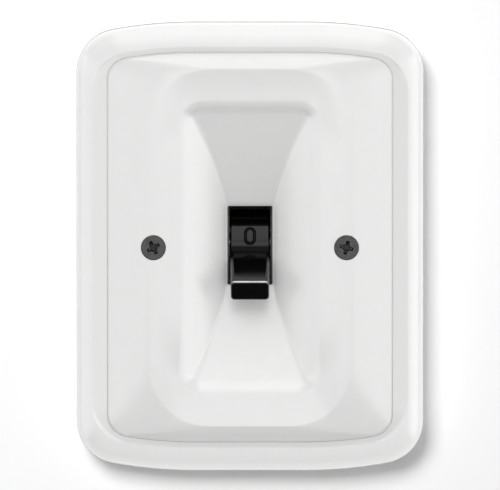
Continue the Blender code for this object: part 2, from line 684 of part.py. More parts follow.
def pocket_boxes():
    # Six terminal pockets and three plain recesses between them, open at the back.
    half = (POLE_PITCH - BARRIER_THICKNESS) / 2
    far = BASE_HALF_HEIGHT + 1.0 * MM
    rib = POCKET_EDGE_Z - BARRIER_THICKNESS
    rows = {"line": (POCKET_EDGE_Z, far), "middle": (-rib, rib), "load": (-far, -POCKET_EDGE_Z)}
    for pole, x in POLES.items():
        for row, (low_z, high_z) in rows.items():
            yield (row + "_" + str(pole), (x - half, POCKET_FLOOR_Y, low_z),
                   (x + half, BASE_BACK_Y + 1.0 * MM, high_z))


def terminal_jog_z():
    # Height at which a line terminal's strip passes through the base's back wall.
    return POCKET_EDGE_Z + GAP + SHEET / 2


def make_mechanism_base():
    base = add_object("mechanism_base", extrude_outline(corner_cut_outline(0.0), BASE_FRONT_Y,
                                                        BASE_BACK_Y), PHENOLIC)
    cut(base, extrude_outline(chamber_outline(), BASE_FRONT_Y - 1.0 * MM, CHAMBER_BACK_Y),
        "chamber")
    for name, low, high in pocket_boxes():
        cut(base, box(low, high), name)
    # Barriers between the poles' contacts, below the carrier's lowest reach.
    barrier_top = BEAM_TOP_Z - BEAM_HEIGHT - CARRIER_TRAVEL - 2 * GAP
    for side in (-1, 1):
        x = side * POLE_PITCH / 2
        half = BARRIER_THICKNESS / 2
        join(base, box((x - half, BASE_FRONT_Y, CHAMBER_FLOOR_Z - 1.0 * MM),
                       (x + half, CHAMBER_BACK_Y + 1.0 * MM, barrier_top)),
             "barrier_" + str(side + 1))
        # Ribs that the carrier's ears slide on.
        low_x, high_x = sorted((side * (CHEEK_INNER_X + GAP),
                                side * (CHEEK_INNER_X + EAR_THICKNESS)))
        join(base, box((low_x, BEAM_FRONT_Y + BEAM_DEPTH + GAP, barrier_top - 1.0 * MM),
                       (high_x, CHAMBER_BACK_Y + 1.0 * MM, POCKET_EDGE_Z)),
             "guide_" + str(side + 1))
    for name, x, z in strap_screw_places():
        side_x = math.copysign(BASE_HALF_WIDTH - BASE_WALL / 2, x)
        low_x, high_x = sorted((x, side_x))
        join(base, cylinder(PILLAR_RADIUS, BASE_FRONT_Y, PILLAR_DEPTH, at=(x, z), sides=16),
             "pillar_" + name)
        join(base, box((low_x, BASE_FRONT_Y, z - PILLAR_RADIUS * 0.7),
                       (high_x, PILLAR_DEPTH, z + PILLAR_RADIUS * 0.7)), "web_" + name)
        cut(base, cylinder(STRAP_SCREW_RADIUS + GAP, BASE_FRONT_Y - 1.0 * MM,
                           STRAP_SCREW_LENGTH, at=(x, z), sides=16), "thread_" + name)
    join(base, cylinder(TOGGLE_SPRING_RADIUS - TOGGLE_WIRE / 2 - GAP, CHAMBER_BACK_Y - 1.6 * MM,
                        CHAMBER_BACK_Y + 1.0 * MM, top_radius=TOGGLE_SPRING_RADIUS, sides=12),
         "spring_nub")
    for pole, x in POLES.items():
        foot = FOOT_WIDTH / 2 + GAP
        slot_half = SHEET / 2 + GAP
        for row, foot_x, z in (("line", x - TIP_OFFSET, terminal_jog_z()),
                               ("load", x + TIP_OFFSET, FOOT_Z)):
            cut(base, box((foot_x - foot, CHAMBER_BACK_Y - 0.5 * MM, z - slot_half),
                          (foot_x + foot, POCKET_FLOOR_Y + 0.5 * MM, z + slot_half)),
                "slot_" + row + str(pole))
        for row, z in (("line", TERMINAL_Z), ("load", -TERMINAL_Z)):
            cut(base, cylinder(TERMINAL_SCREW_RADIUS + GAP, CHAMBER_BACK_Y + 1.0 * MM,
                               POCKET_FLOOR_Y + 1.0 * MM, at=(x, z), sides=16),
                "screw_" + row + str(pole))
    return base


def strip_mesh(path, edges):
    # A bent strip: path holds (y, z) bend points and edges the (low x, high x) at each of them.
    mesh = bpy.data.meshes.new("strip")
    work = bmesh.new()
    rows = [(work.verts.new((low, y, z)), work.verts.new((high, y, z)))
            for (y, z), (low, high) in zip(path, edges)]
    for (low, high), (low_after, high_after) in zip(rows, rows[1:]):
        work.faces.new((low, high, high_after, low_after))
    work.to_mesh(mesh)
    work.free()
    return mesh


def make_terminal(name, pole_x, foot_side, path):
    # A brass strip with its contact foot in the chamber and its clamping plate in the pocket.
    foot_x = pole_x + foot_side * TIP_OFFSET
    narrow = (foot_x - FOOT_WIDTH / 2, foot_x + FOOT_WIDTH / 2)
    outer = foot_side * (TIP_OFFSET + FOOT_WIDTH / 2)
    wide = tuple(sorted((pole_x + outer, pole_x - foot_side * TERMINAL_INNER_EDGE)))
    edges = [narrow] * (len(path) - 3) + [narrow, wide, wide]
    strip = add_object(name, strip_mesh(path, edges), BRASS, smooth_angle=None)
    thicken = strip.modifiers.new("thickness", "SOLIDIFY")
    thicken.thickness = SHEET
    thicken.offset = 0.0
    thicken.use_even_offset = True
    join(strip, cylinder(TIP_RADIUS, FOOT_Z, FOOT_Z + SHEET / 2 + TIP_HEIGHT, axis="Z",
                         at=(foot_x, CONTACT_Y), sides=16), "tip")
    z = math.copysign(TERMINAL_Z, path[-1][1])
    cut(strip, cylinder(TERMINAL_SCREW_RADIUS + GAP, TERMINAL_PLATE_Y - 1.0 * MM,
                        TERMINAL_PLATE_Y + 1.0 * MM, at=(pole_x, z), sides=16), "hole")
    return strip


def make_terminals():
    riser_y = CHAMBER_BACK_Y - GAP - SHEET / 2
    jog_z = terminal_jog_z()
    step = 0.9 * MM
    line_path = [(FOOT_FRONT_Y, FOOT_Z), (riser_y, FOOT_Z), (riser_y, jog_z),
                 (TERMINAL_PLATE_Y, jog_z), (TERMINAL_PLATE_Y, jog_z + step),
                 (TERMINAL_PLATE_Y, TERMINAL_Z - TERMINAL_HALF_HEIGHT + 0.6 * MM),
                 (TERMINAL_PLATE_Y, TERMINAL_Z + TERMINAL_HALF_HEIGHT)]
    load_path = [(FOOT_FRONT_Y, FOOT_Z), (TERMINAL_PLATE_Y, FOOT_Z),
                 (TERMINAL_PLATE_Y, FOOT_Z + step), (TERMINAL_PLATE_Y, FOOT_Z + 2 * step),
                 (TERMINAL_PLATE_Y, TERMINAL_HALF_HEIGHT - TERMINAL_Z)]
    for pole, x in POLES.items():
        make_terminal("line_terminal_" + str(pole), x, -1, line_path)
        make_terminal("load_terminal_" + str(pole), x, 1, load_path)
        for row, z in (("line", TERMINAL_Z), ("load", -TERMINAL_Z)):
            make_clamp("%s_clamp_%d" % (row, pole), x, z)
            make_slotted_screw("%s_screw_%d" % (row, pole), x, z,
                               CLAMP_Y + CLAMP_THICKNESS / 2 + GAP, 1, TERMINAL_HEAD_RADIUS,
                               TERMINAL_HEAD_HEIGHT, TERMINAL_SCREW_RADIUS,
                               CLAMP_Y - CHAMBER_BACK_Y - 1.0 * MM, BRASS,
                               slot_turn=math.radians(SLOT_TURNS[row][pole - 1]))


def make_clamp(name, x, z):
    # A square clamping plate with two lips turned towards the terminal.
    half = CLAMP_SIZE / 2
    front = CLAMP_Y - CLAMP_THICKNESS / 2
    back = CLAMP_Y + CLAMP_THICKNESS / 2
    clamp = add_object(name, box((x - half, front, z - half), (x + half, back, z + half)), ZINC)
    cut(clamp, box((x - half - GAP, front - GAP, z - half + CLAMP_LIP),
                   (x + half + GAP, front + CLAMP_THICKNESS * 0.35, z + half - CLAMP_LIP)), "lips")
    cut(clamp, cylinder(TERMINAL_SCREW_RADIUS + GAP, front - 1.0 * MM, back + 1.0 * MM, at=(x, z),
                        sides=16), "hole")
    return clamp


def make_lever():
    # Built with the handle along -Y and the pivot at its own origin, then tilted to rest.
    hub = arc((0.0, 0.0), HUB_RADIUS, math.pi / 2, math.pi * 1.5, 28)
    root = 0.5 * MM
    profile = ([(root, HUB_RADIUS)] + hub + [(root, -HUB_RADIUS), (root, -TAIL_HALF_THICKNESS),
               (TAIL_REACH, -TAIL_HALF_THICKNESS), (TAIL_REACH, TAIL_HALF_THICKNESS),
               (root, TAIL_HALF_THICKNESS)])
    body = extrude_outline(profile, -HUB_WIDTH / 2, HUB_WIDTH / 2, axis="X")
    lever = add_object("lever", body, BLACK, smooth_angle=25.0)

    def handle(work):
        start = HUB_RADIUS * 0.55
        bmesh.ops.create_cube(work, size=1.0)
        for vert in work.verts:
            tip = vert.co.y < 0
            width = HANDLE_TIP_WIDTH if tip else HANDLE_WIDTH
            thickness = HANDLE_TIP_THICKNESS if tip else HANDLE_THICKNESS
            vert.co.x *= width
            vert.co.z *= thickness
            vert.co.y = -HANDLE_REACH if tip else -start
        bmesh.ops.bevel(work, geom=list(work.edges), offset=HANDLE_ROUND, segments=3,
                        profile=0.5, affect="EDGES")
    join(lever, mesh_from(handle), "handle")
    reach = HUB_WIDTH / 2 + 1.0 * MM
    cut(lever, cylinder(PIVOT_PIN_RADIUS + GAP, -reach, reach, axis="X", sides=16), "pivot_bore")
    cut(lever, cylinder(DRIVE_PIN_RADIUS + GAP, -reach, reach, axis="X", at=(CRANK_RADIUS, 0.0),
                        sides=16), "drive_bore")
    place_on_pivot(lever)
    return lever


def place_on_pivot(item):
    # The pivot is along X through (0, PIVOT_Y, 0); helpers of the piece ride along with it.
    tilt = Matrix.Translation((0.0, PIVOT_Y, 0.0)) @ Matrix.Rotation(LEVER_REST, 4, "X")
    item.matrix_world = tilt
    for change in item.modifiers:
        if change.type == "BOOLEAN":
            change.object.matrix_world = tilt


def make_pins():
    pivot_half = CHEEK_INNER_X + CHEEK_THICKNESS
    pin = add_object("pivot_pin", cylinder(PIVOT_PIN_RADIUS, -pivot_half, pivot_half, axis="X",
                                           sides=16), SPRING_STEEL)
    pin.location = (0.0, PIVOT_Y, 0.0)
    drive_half = CHEEK_INNER_X + EAR_THICKNESS
    drive = add_object("drive_pin", cylinder(DRIVE_PIN_RADIUS, -drive_half, drive_half, axis="X",
                                             at=(CRANK_RADIUS, 0.0), sides=16), SPRING_STEEL)
    place_on_pivot(drive)


def slot_center_z():
    # Rest height of the drive pin, which is up while the handle is down.
    return CRANK_RADIUS * math.sin(LEVER_REST)


def make_contact_carrier():
    # A beam across the three poles with a stem for each bridge and two forked ears.
    half_length = POLE_PITCH + STEM_HALF_WIDTH
    beam_low = BEAM_TOP_Z - BEAM_HEIGHT
    carrier = add_object("contact_carrier",
                         box((-half_length, BEAM_FRONT_Y, beam_low),
                             (half_length, BEAM_FRONT_Y + BEAM_DEPTH, BEAM_TOP_Z)), IVORY)
    for pole, x in POLES.items():
        join(carrier, box((x - STEM_HALF_WIDTH, BEAM_MID_Y - STEM_DEPTH / 2,
                           beam_low - STEM_LENGTH),
                          (x + STEM_HALF_WIDTH, BEAM_MID_Y + STEM_DEPTH / 2,
                           beam_low + BEAM_HEIGHT / 2)), "stem_" + str(pole))
        cut(carrier, box((x - STEM_HALF_WIDTH - 1.0 * MM, BEAM_MID_Y - STEM_WINDOW_DEPTH / 2,
                          SILL_Z),
                         (x + STEM_HALF_WIDTH + 1.0 * MM, BEAM_MID_Y + STEM_WINDOW_DEPTH / 2,
                          SILL_Z + STEM_WINDOW_HEIGHT)), "window_" + str(pole))
    slot_half = DRIVE_PIN_RADIUS + GAP
    slot_end = PIVOT_Y + CRANK_RADIUS + DRIVE_PIN_RADIUS + 2 * GAP
    ear_top = slot_center_z() + slot_half + EAR_TOP
    for side in (-1, 1):
        low_x, high_x = sorted((side * CHEEK_INNER_X, side * (CHEEK_INNER_X + EAR_THICKNESS)))
        join(carrier, box((low_x, EAR_FRONT_Y, beam_low),
                          (high_x, BEAM_FRONT_Y + BEAM_DEPTH, ear_top)), "ear_" + str(side + 1))
        # The drive pin's slot is open towards the front, where the pin enters it.
        cut(carrier, box((low_x - GAP, EAR_FRONT_Y - GAP, slot_center_z() - slot_half),
                         (high_x + GAP, slot_end, slot_center_z() + slot_half)),
            "fork_" + str(side + 1))
        cut(carrier, box((low_x - GAP, EAR_FRONT_Y - GAP, beam_low - GAP),
                         (high_x + GAP, BEAM_FRONT_Y - GAP, BEAM_TOP_Z)),
            "foot_" + str(side + 1))
    return carrier


def make_bridge(pole, x):
    low_z = BRIDGE_Z - BRIDGE_THICKNESS / 2
    half_width = BRIDGE_WIDTH / 2
    bridge = add_object("contact_bridge_" + str(pole),
                        box((x - BRIDGE_LENGTH / 2, CONTACT_Y - half_width, low_z),
                            (x + BRIDGE_LENGTH / 2, CONTACT_Y + half_width,
                             low_z + BRIDGE_THICKNESS)), COPPER)
    for side in (-1, 1):
        join(bridge, cylinder(TIP_RADIUS, low_z - TIP_HEIGHT, BRIDGE_Z, axis="Z",
                              at=(x + side * TIP_OFFSET, CONTACT_Y), sides=16),
             "tip_" + str(side + 1))
    join(bridge, cylinder(BRIDGE_SPRING_RADIUS - BRIDGE_WIRE / 2 - GAP, BRIDGE_Z,
                          low_z + BRIDGE_THICKNESS + 0.8 * MM, axis="Z", at=(x, CONTACT_Y),
                          sides=12), "nub")
    return bridge


def coil_points(radius, wire, length, turns):
    # The middle line of a coil round Z that stands between 0 and length. Its end turns climb
    # by a little more than the wire's thickness, so that no turn cuts its neighbour.
    climb = wire * 1.25
    rise = length - wire - 2 * climb
    points = []
    for step in range(turns * COIL_STEPS + 1):
        turn = step / COIL_STEPS
        first = min(turn / FLAT_TURN, 1.0)
        middle = min(max((turn - FLAT_TURN) / (turns - 2 * FLAT_TURN), 0.0), 1.0)
        last = max(0.0, (turn - turns + FLAT_TURN) / FLAT_TURN)
        z = wire / 2 + climb * (first + last) + rise * middle
        points.append((radius * math.cos(math.tau * turn), radius * math.sin(math.tau * turn), z))
    return points


def make_spring(name, radius, wire, length, turns, place):
    curve = bpy.data.curves.new(name, "CURVE")
    curve.dimensions = "3D"
    spline = curve.splines.new("POLY")
    points = coil_points(radius, wire, length, turns)
    spline.points.add(len(points) - 1)
    for point, spot in zip(spline.points, points):
        point.co = (*spot, 1.0)
    curve.bevel_depth = wire / 2
    curve.bevel_resolution = 1
    curve.use_fill_caps = True
    item = bpy.data.objects.new(name, curve)
    curve.materials.append(material(name, *SPRING_STEEL))
    item.matrix_world = place
    PARTS.objects.link(item)
    return item


def make_springs():
    seat_y = CHAMBER_BACK_Y - GAP
    tail_y = PIVOT_Y + (TAIL_REACH + GAP) * math.cos(LEVER_REST)
    tail_z = (TAIL_REACH + GAP) * math.sin(LEVER_REST)
    lean = math.atan2(tail_z, seat_y - tail_y)
    outer = TOGGLE_SPRING_RADIUS + TOGGLE_WIRE / 2
    seat_margin = outer * math.sin(lean)
    tail_margin = outer * math.sin(lean + LEVER_REST)
    length = math.hypot(tail_z, seat_y - tail_y) - seat_margin - tail_margin
    place = (Matrix.Translation((0.0, seat_y - seat_margin * math.cos(lean),
                                 seat_margin * math.sin(lean)))
             @ Matrix.Rotation(math.pi / 2 - lean, 4, "X"))
    make_spring("toggle_spring", TOGGLE_SPRING_RADIUS, TOGGLE_WIRE, length, 5, place)
    for pole, x in POLES.items():
        low_z = BRIDGE_Z + BRIDGE_THICKNESS / 2 + GAP
        top_z = SILL_Z + STEM_WINDOW_HEIGHT - GAP
        make_spring("bridge_spring_" + str(pole), BRIDGE_SPRING_RADIUS, BRIDGE_WIRE,
                    top_z - low_z, 4, Matrix.Translation((x, CONTACT_Y, low_z)))


def main():
    make_surround_frame()
    make_front_cover()
    make_cover_screw("cover_screw_left", -COVER_SCREW_X, math.radians(25.0))
    make_cover_screw("cover_screw_right", COVER_SCREW_X, math.radians(-15.0))
    make_mounting_strap()
    make_bearing_plate()
    make_mechanism_base()
    for name, x, z in strap_screw_places():
        make_slotted_screw(name, x, z, -STRAP_THICKNESS - GAP, -1, STRAP_HEAD_RADIUS,
                           STRAP_HEAD_HEIGHT, STRAP_SCREW_RADIUS, STRAP_SCREW_LENGTH, ZINC)
    make_lever()
    make_pins()
    make_contact_carrier()
    for pole, x in POLES.items():
        make_bridge(pole, x)
    make_terminals()
    make_springs()


main()
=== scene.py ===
import json
import math

import bpy
import numpy as np
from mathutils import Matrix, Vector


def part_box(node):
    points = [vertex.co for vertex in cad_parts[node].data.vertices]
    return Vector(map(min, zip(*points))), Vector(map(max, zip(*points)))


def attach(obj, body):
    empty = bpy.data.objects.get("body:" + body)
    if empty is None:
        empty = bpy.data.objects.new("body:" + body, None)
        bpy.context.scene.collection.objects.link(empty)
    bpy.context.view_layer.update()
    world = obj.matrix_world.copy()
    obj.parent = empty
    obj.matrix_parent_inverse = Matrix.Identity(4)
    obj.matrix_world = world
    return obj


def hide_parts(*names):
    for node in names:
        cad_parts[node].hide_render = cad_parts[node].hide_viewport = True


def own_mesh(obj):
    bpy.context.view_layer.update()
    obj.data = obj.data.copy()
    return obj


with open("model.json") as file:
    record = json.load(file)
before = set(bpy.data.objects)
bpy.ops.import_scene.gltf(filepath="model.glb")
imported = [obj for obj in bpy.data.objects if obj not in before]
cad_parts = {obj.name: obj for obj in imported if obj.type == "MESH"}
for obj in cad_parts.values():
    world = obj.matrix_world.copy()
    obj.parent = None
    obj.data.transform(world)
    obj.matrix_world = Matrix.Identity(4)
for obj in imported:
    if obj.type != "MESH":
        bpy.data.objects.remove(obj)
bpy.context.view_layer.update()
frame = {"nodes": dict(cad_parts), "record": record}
nodes = frame["nodes"]
mm = 0.001
print("stage: frame loaded,", len(nodes), "nodes")


# Degrees between two faces from which their edge isn't shaded smooth, and for threads and wire.
sharpEdge, roundedSharpEdge = 32.0, 50.0


def gridObject(name, points, closeAround=True, closeAlong=False, capEnds=False,
               sharpAngle=sharpEdge):
    # points is a (rows, columns, 3) array; neighbours in both directions are joined by quads.
    rows, cols = points.shape[:2]
    rowIds = np.arange(rows if closeAlong else rows - 1)
    colIds = np.arange(cols if closeAround else cols - 1)
    r, c = np.meshgrid(rowIds, colIds, indexing="ij")
    rNext, cNext = (r + 1) % rows, (c + 1) % cols
    quads = np.stack([r * cols + c, r * cols + cNext, rNext * cols + cNext, rNext * cols + c], -1)
    quads = quads.reshape(-1, 4)
    verts = points.reshape(-1, 3)
    loops = [quads.reshape(-1)]
    sizes = [np.full(len(quads), 4)]
    if capEnds:  # one fan point in the middle of each end ring
        ends = np.stack([points[0].mean(0), points[-1].mean(0)])
        first, last = len(verts), len(verts) + 1
        verts = np.concatenate([verts, ends])
        here, beside = colIds, (colIds + 1) % cols
        low = np.stack([np.full(cols, first), beside, here], -1)
        high = np.stack([np.full(cols, last), (rows - 1) * cols + here,
                         (rows - 1) * cols + beside], -1)
        loops += [low.reshape(-1), high.reshape(-1)]
        sizes += [np.full(cols, 3), np.full(cols, 3)]
    loops, sizes = np.concatenate(loops), np.concatenate(sizes)
    mesh = bpy.data.meshes.new(name)
    mesh.vertices.add(len(verts))
    mesh.vertices.foreach_set("co", verts.astype(np.float32).reshape(-1))
    mesh.loops.add(len(loops))
    mesh.loops.foreach_set("vertex_index", loops.astype(np.int32))
    mesh.polygons.add(len(sizes))
    mesh.polygons.foreach_set("loop_start", (np.cumsum(sizes) - sizes).astype(np.int32))
    mesh.update(calc_edges=True)
    mesh.validate()
    if meshVolume(mesh) < 0:
        mesh.flip_normals()
    mesh.shade_smooth()
    mesh.set_sharp_from_angle(angle=math.radians(sharpAngle))
    return addObject(name, mesh)


def addObject(name, data):
    item = bpy.data.objects.new(name, data)
    bpy.context.scene.collection.objects.link(item)
    return item


def meshVolume(mesh):
    # Sum of the signed tetrahedra between the origin and each triangle.
    mesh.calc_loop_triangles()
    corners = np.empty(len(mesh.vertices) * 3, np.float32)
    mesh.vertices.foreach_get("co", corners)
    corners = corners.reshape(-1, 3).astype(float)
    corners -= corners.mean(0)
    tris = np.empty(len(mesh.loop_triangles) * 3, np.int32)
    mesh.loop_triangles.foreach_get("vertices", tris)
    a, b, c = (corners[tris.reshape(-1, 3)[:, k]] for k in range(3))
    return float(np.einsum("ij,ij->i", a, np.cross(b, c)).sum() / 6)


def cutAway(item, cutters):
    # Boolean cuts, baked into the mesh at once, so that no modifier stays on the piece.
    for cutter in cutters:
        change = item.modifiers.new("cut", "BOOLEAN")
        change.operation = "DIFFERENCE"
        change.solver = "EXACT"
        change.object = cutter
    depsgraph = bpy.context.evaluated_depsgraph_get()
    baked = bpy.data.meshes.new_from_object(item.evaluated_get(depsgraph))
    item.modifiers.clear()
    item.data = baked
    for cutter in cutters:
        bpy.data.objects.remove(cutter, do_unlink=True)
    baked.shade_smooth()
    baked.set_sharp_from_angle(angle=math.radians(sharpEdge))
    return item


def smoothStep(edge0, edge1, value):
    share = np.clip((value - edge0) / (edge1 - edge0), 0.0, 1.0)
    return share * share * (3.0 - 2.0 * share)


def blend(first, last, share):
    return first + (last - first) * share


outlineSteps = {"side": 14, "corner": 26, "crown": 26, "flat": 8}


def ringPoints(stations, flatLimit):
    # Each station is (half width, half height, corner radius, crown curvature, y). Its outline is
    # a rectangle with round corners whose top and bottom bow on a long arc beside a flat middle.
    halfWidth, halfHeight, corner, bend, y = (stations[:, k:k + 1] for k in range(5))
    crown = 1.0 / np.maximum(bend, 0.02)
    sideX = halfWidth - corner
    baseZ = halfHeight - crown
    flatHalf = np.minimum(flatLimit, 0.6 * sideX)
    rise = np.sqrt((crown - corner) ** 2 - (sideX - flatHalf) ** 2)
    turn = np.arctan2(rise, sideX - flatHalf)
    cornerZ = baseZ + rise

    def shares(key):
        return np.linspace(0, 1, outlineSteps[key], endpoint=False)[None]

    s = shares("side")
    xs, zs = [halfWidth + 0 * s], [cornerZ * s]
    s = shares("corner")
    xs.append(sideX + corner * np.cos(turn * s))
    zs.append(cornerZ + corner * np.sin(turn * s))
    angle = blend(turn, math.pi / 2, shares("crown"))
    xs.append(flatHalf + crown * np.cos(angle))
    zs.append(baseZ + crown * np.sin(angle))
    s = np.linspace(0, 1, outlineSteps["flat"] + 1)[None]
    xs.append(flatHalf * (1 - s) + 0 * halfWidth)
    zs.append(halfHeight + 0 * s)
    x, z = np.concatenate(xs, 1), np.concatenate(zs, 1)
    backX, backZ = x[:, -2:0:-1], z[:, -2:0:-1]
    fullX = np.concatenate([x, -backX, -x, backX], 1)
    fullZ = np.concatenate([z, backZ, -z, -backZ], 1)
    return np.stack([fullX, fullZ * 0 + y, fullZ], -1)


def softProfile(stations, rounds, steps=7):
    # A broken line through the stations whose corners are replaced by quadratic Bezier arcs.
    # rounds gives, for each station, how far from it the arc starts, in metres.
    stations = np.array(stations, float)
    pieces = []
    count = len(stations)
    for k in range(count):
        before, here, after = stations[k - 1], stations[k], stations[(k + 1) % count]
        reach = rounds[k]
        if not reach:
            pieces.append(here[None])
            continue
        lengthIn = np.hypot(here[0] - before[0], here[4] - before[4])
        lengthOut = np.hypot(after[0] - here[0], after[4] - here[4])
        start = here + (before - here) * min(reach / max(lengthIn, 1e-9), 0.48)
        end = here + (after - here) * min(reach / max(lengthOut, 1e-9), 0.48)
        t = np.linspace(0, 1, steps)[:, None]
        pieces.append((1 - t) ** 2 * start + 2 * t * (1 - t) * here + t ** 2 * end)
    return np.concatenate(pieces)


frameShape = {
    "halfWidth": 45.0, "halfHeight": 58.2, "corner": 11.3, "crownRadius": 118.0,
    "flatHalf": 14.3, "height": 11.0, "edgeHeight": 6.4, "wall": 2.1,
    "crestSide": 4.2, "crestEnd": 6.25, "crestRound": 0.42, "crestTighter": 1.5,
    "windowHalfWidth": 37.0, "windowHalfHeight": 50.6, "windowCorner": 5.85,
    "windowHeight": 9.8, "lipWidth": 2.8, "lipHeight": 7.2, "lipThickness": 2.0,
}


def windowStation(inset, y):
    f = frameShape
    crown = f["crownRadius"] - (f["halfHeight"] - f["windowHalfHeight"]) - inset
    return [(f["windowHalfWidth"] - inset) * mm, (f["windowHalfHeight"] - inset) * mm,
            (f["windowCorner"] - inset / 2) * mm, 1000.0 / crown, y * mm]


def bandStation(share, y):
    f = frameShape
    return [(f["halfWidth"] - f["crestSide"] * share) * mm,
            (f["halfHeight"] - f["crestEnd"] * share) * mm,
            (f["corner"] - f["crestTighter"] * share) * mm,
            1000.0 / (f["crownRadius"] - f["crestEnd"] * share), y * mm]


def outerStation(inset, y):
    f = frameShape
    return [(f["halfWidth"] - inset) * mm, (f["halfHeight"] - inset) * mm,
            (f["corner"] - inset / 2) * mm, 1000.0 / (f["crownRadius"] - inset), y * mm]


def makeFrame():
    # A quarter ellipse from the upright outer wall up to the crest, then the inner slope.
    f = frameShape
    shares = 1 - np.cos(np.linspace(0, math.pi / 2, 22))
    rise = f["height"] - f["edgeHeight"]
    band = [bandStation(s, -(f["edgeHeight"] + rise * math.sqrt(1 - (1 - s) ** 2))) for s in shares]
    lipBack = f["lipHeight"] - f["lipThickness"]
    stations = [outerStation(0.0, 0.0)] + band + [
        windowStation(0.0, -f["windowHeight"]), windowStation(0.0, -f["lipHeight"]),
        windowStation(f["lipWidth"], -f["lipHeight"]), windowStation(f["lipWidth"], -lipBack),
        windowStation(-0.6, -lipBack), bandStation(0.7, -f["height"] + f["wall"] + 0.6),
        outerStation(f["wall"], -f["edgeHeight"]), outerStation(f["wall"], 0.0)]
    edges = (f["crestRound"], 0.22, 0.2, 0.2, 0.2, 0.3, 0.5, 0.8, 0.15)
    rounds = [0.15 * mm] + [0] * (len(band) - 1) + [edge * mm for edge in edges]
    profile = softProfile(stations, rounds)
    return gridObject("surroundFrame", ringPoints(profile, f["flatHalf"] * mm), closeAlong=True)


coverShape = {
    "faceHeight": 11.5, "clearance": 0.35, "rimHeight": 9.95, "rimRound": 0.4,
    "grooveWidth": 0.31, "grooveDepth": 0.35, "wall": 2.2,
    "cushionHalfWidth": 27.0, "cushionHalfHeight": 46.4, "cushionCorner": 17.0,
    "cushionDrop": 0.08, "cushionSwell": 0.10, "calmHalfWidth": 23.6, "calmHalfHeight": 39.6,
    "calmTighter": 3.0,
    "mouthHalfWidth": 18.5, "mouthHalfHeight": 38.2, "mouthCorner": 6.4,
    "stepWidth": 1.8, "stepDrop": 0.42, "bandWidth": 3.4, "bandHeight": 3.4, "bandDrop": 1.17,
    "bandCorner": 1.9, "slotHalfWidth": 5.85, "slotHalfHeight": 10.24,
    "slotCorner": 0.4, "slotDepth": 9.5, "chamfer": 0.55, "bow": 1.33, "funnelCorner": 0.45,
    "backStep": 1.65, "backFlare": 1.6, "backTaper": 0.55, "skirt": 2.2,
    "dip": 0.48, "dipStart": 20.0, "dipMiddle": 35.0, "dipSide": 16.5, "dipFade": 7.0,
    "screwX": 25.0, "boreRadius": 3.27,
}
screwPlaces = {"Left": -coverShape["screwX"], "Right": coverShape["screwX"]}


def plainStation(halfWidth, halfHeight, corner, y):
    return [halfWidth * mm, halfHeight * mm, corner * mm, 0.0, y * mm]


def funnelSize(y):
    # Half width and half height of the funnel at y: the sides bow inwards, the slopes are flat.
    c = coverShape
    share = (y + c["faceHeight"] - c["bandDrop"]) / (c["slotDepth"] - c["bandDrop"])
    edgeX, edgeZ = c["slotHalfWidth"] + c["chamfer"], c["slotHalfHeight"] + c["chamfer"]
    far = max(0.0, 1 - share) ** c["bow"]
    halfWidth = blend(edgeX, c["mouthHalfWidth"] - c["bandWidth"], far)
    return halfWidth, blend(c["mouthHalfHeight"] - c["bandHeight"], edgeZ, share)


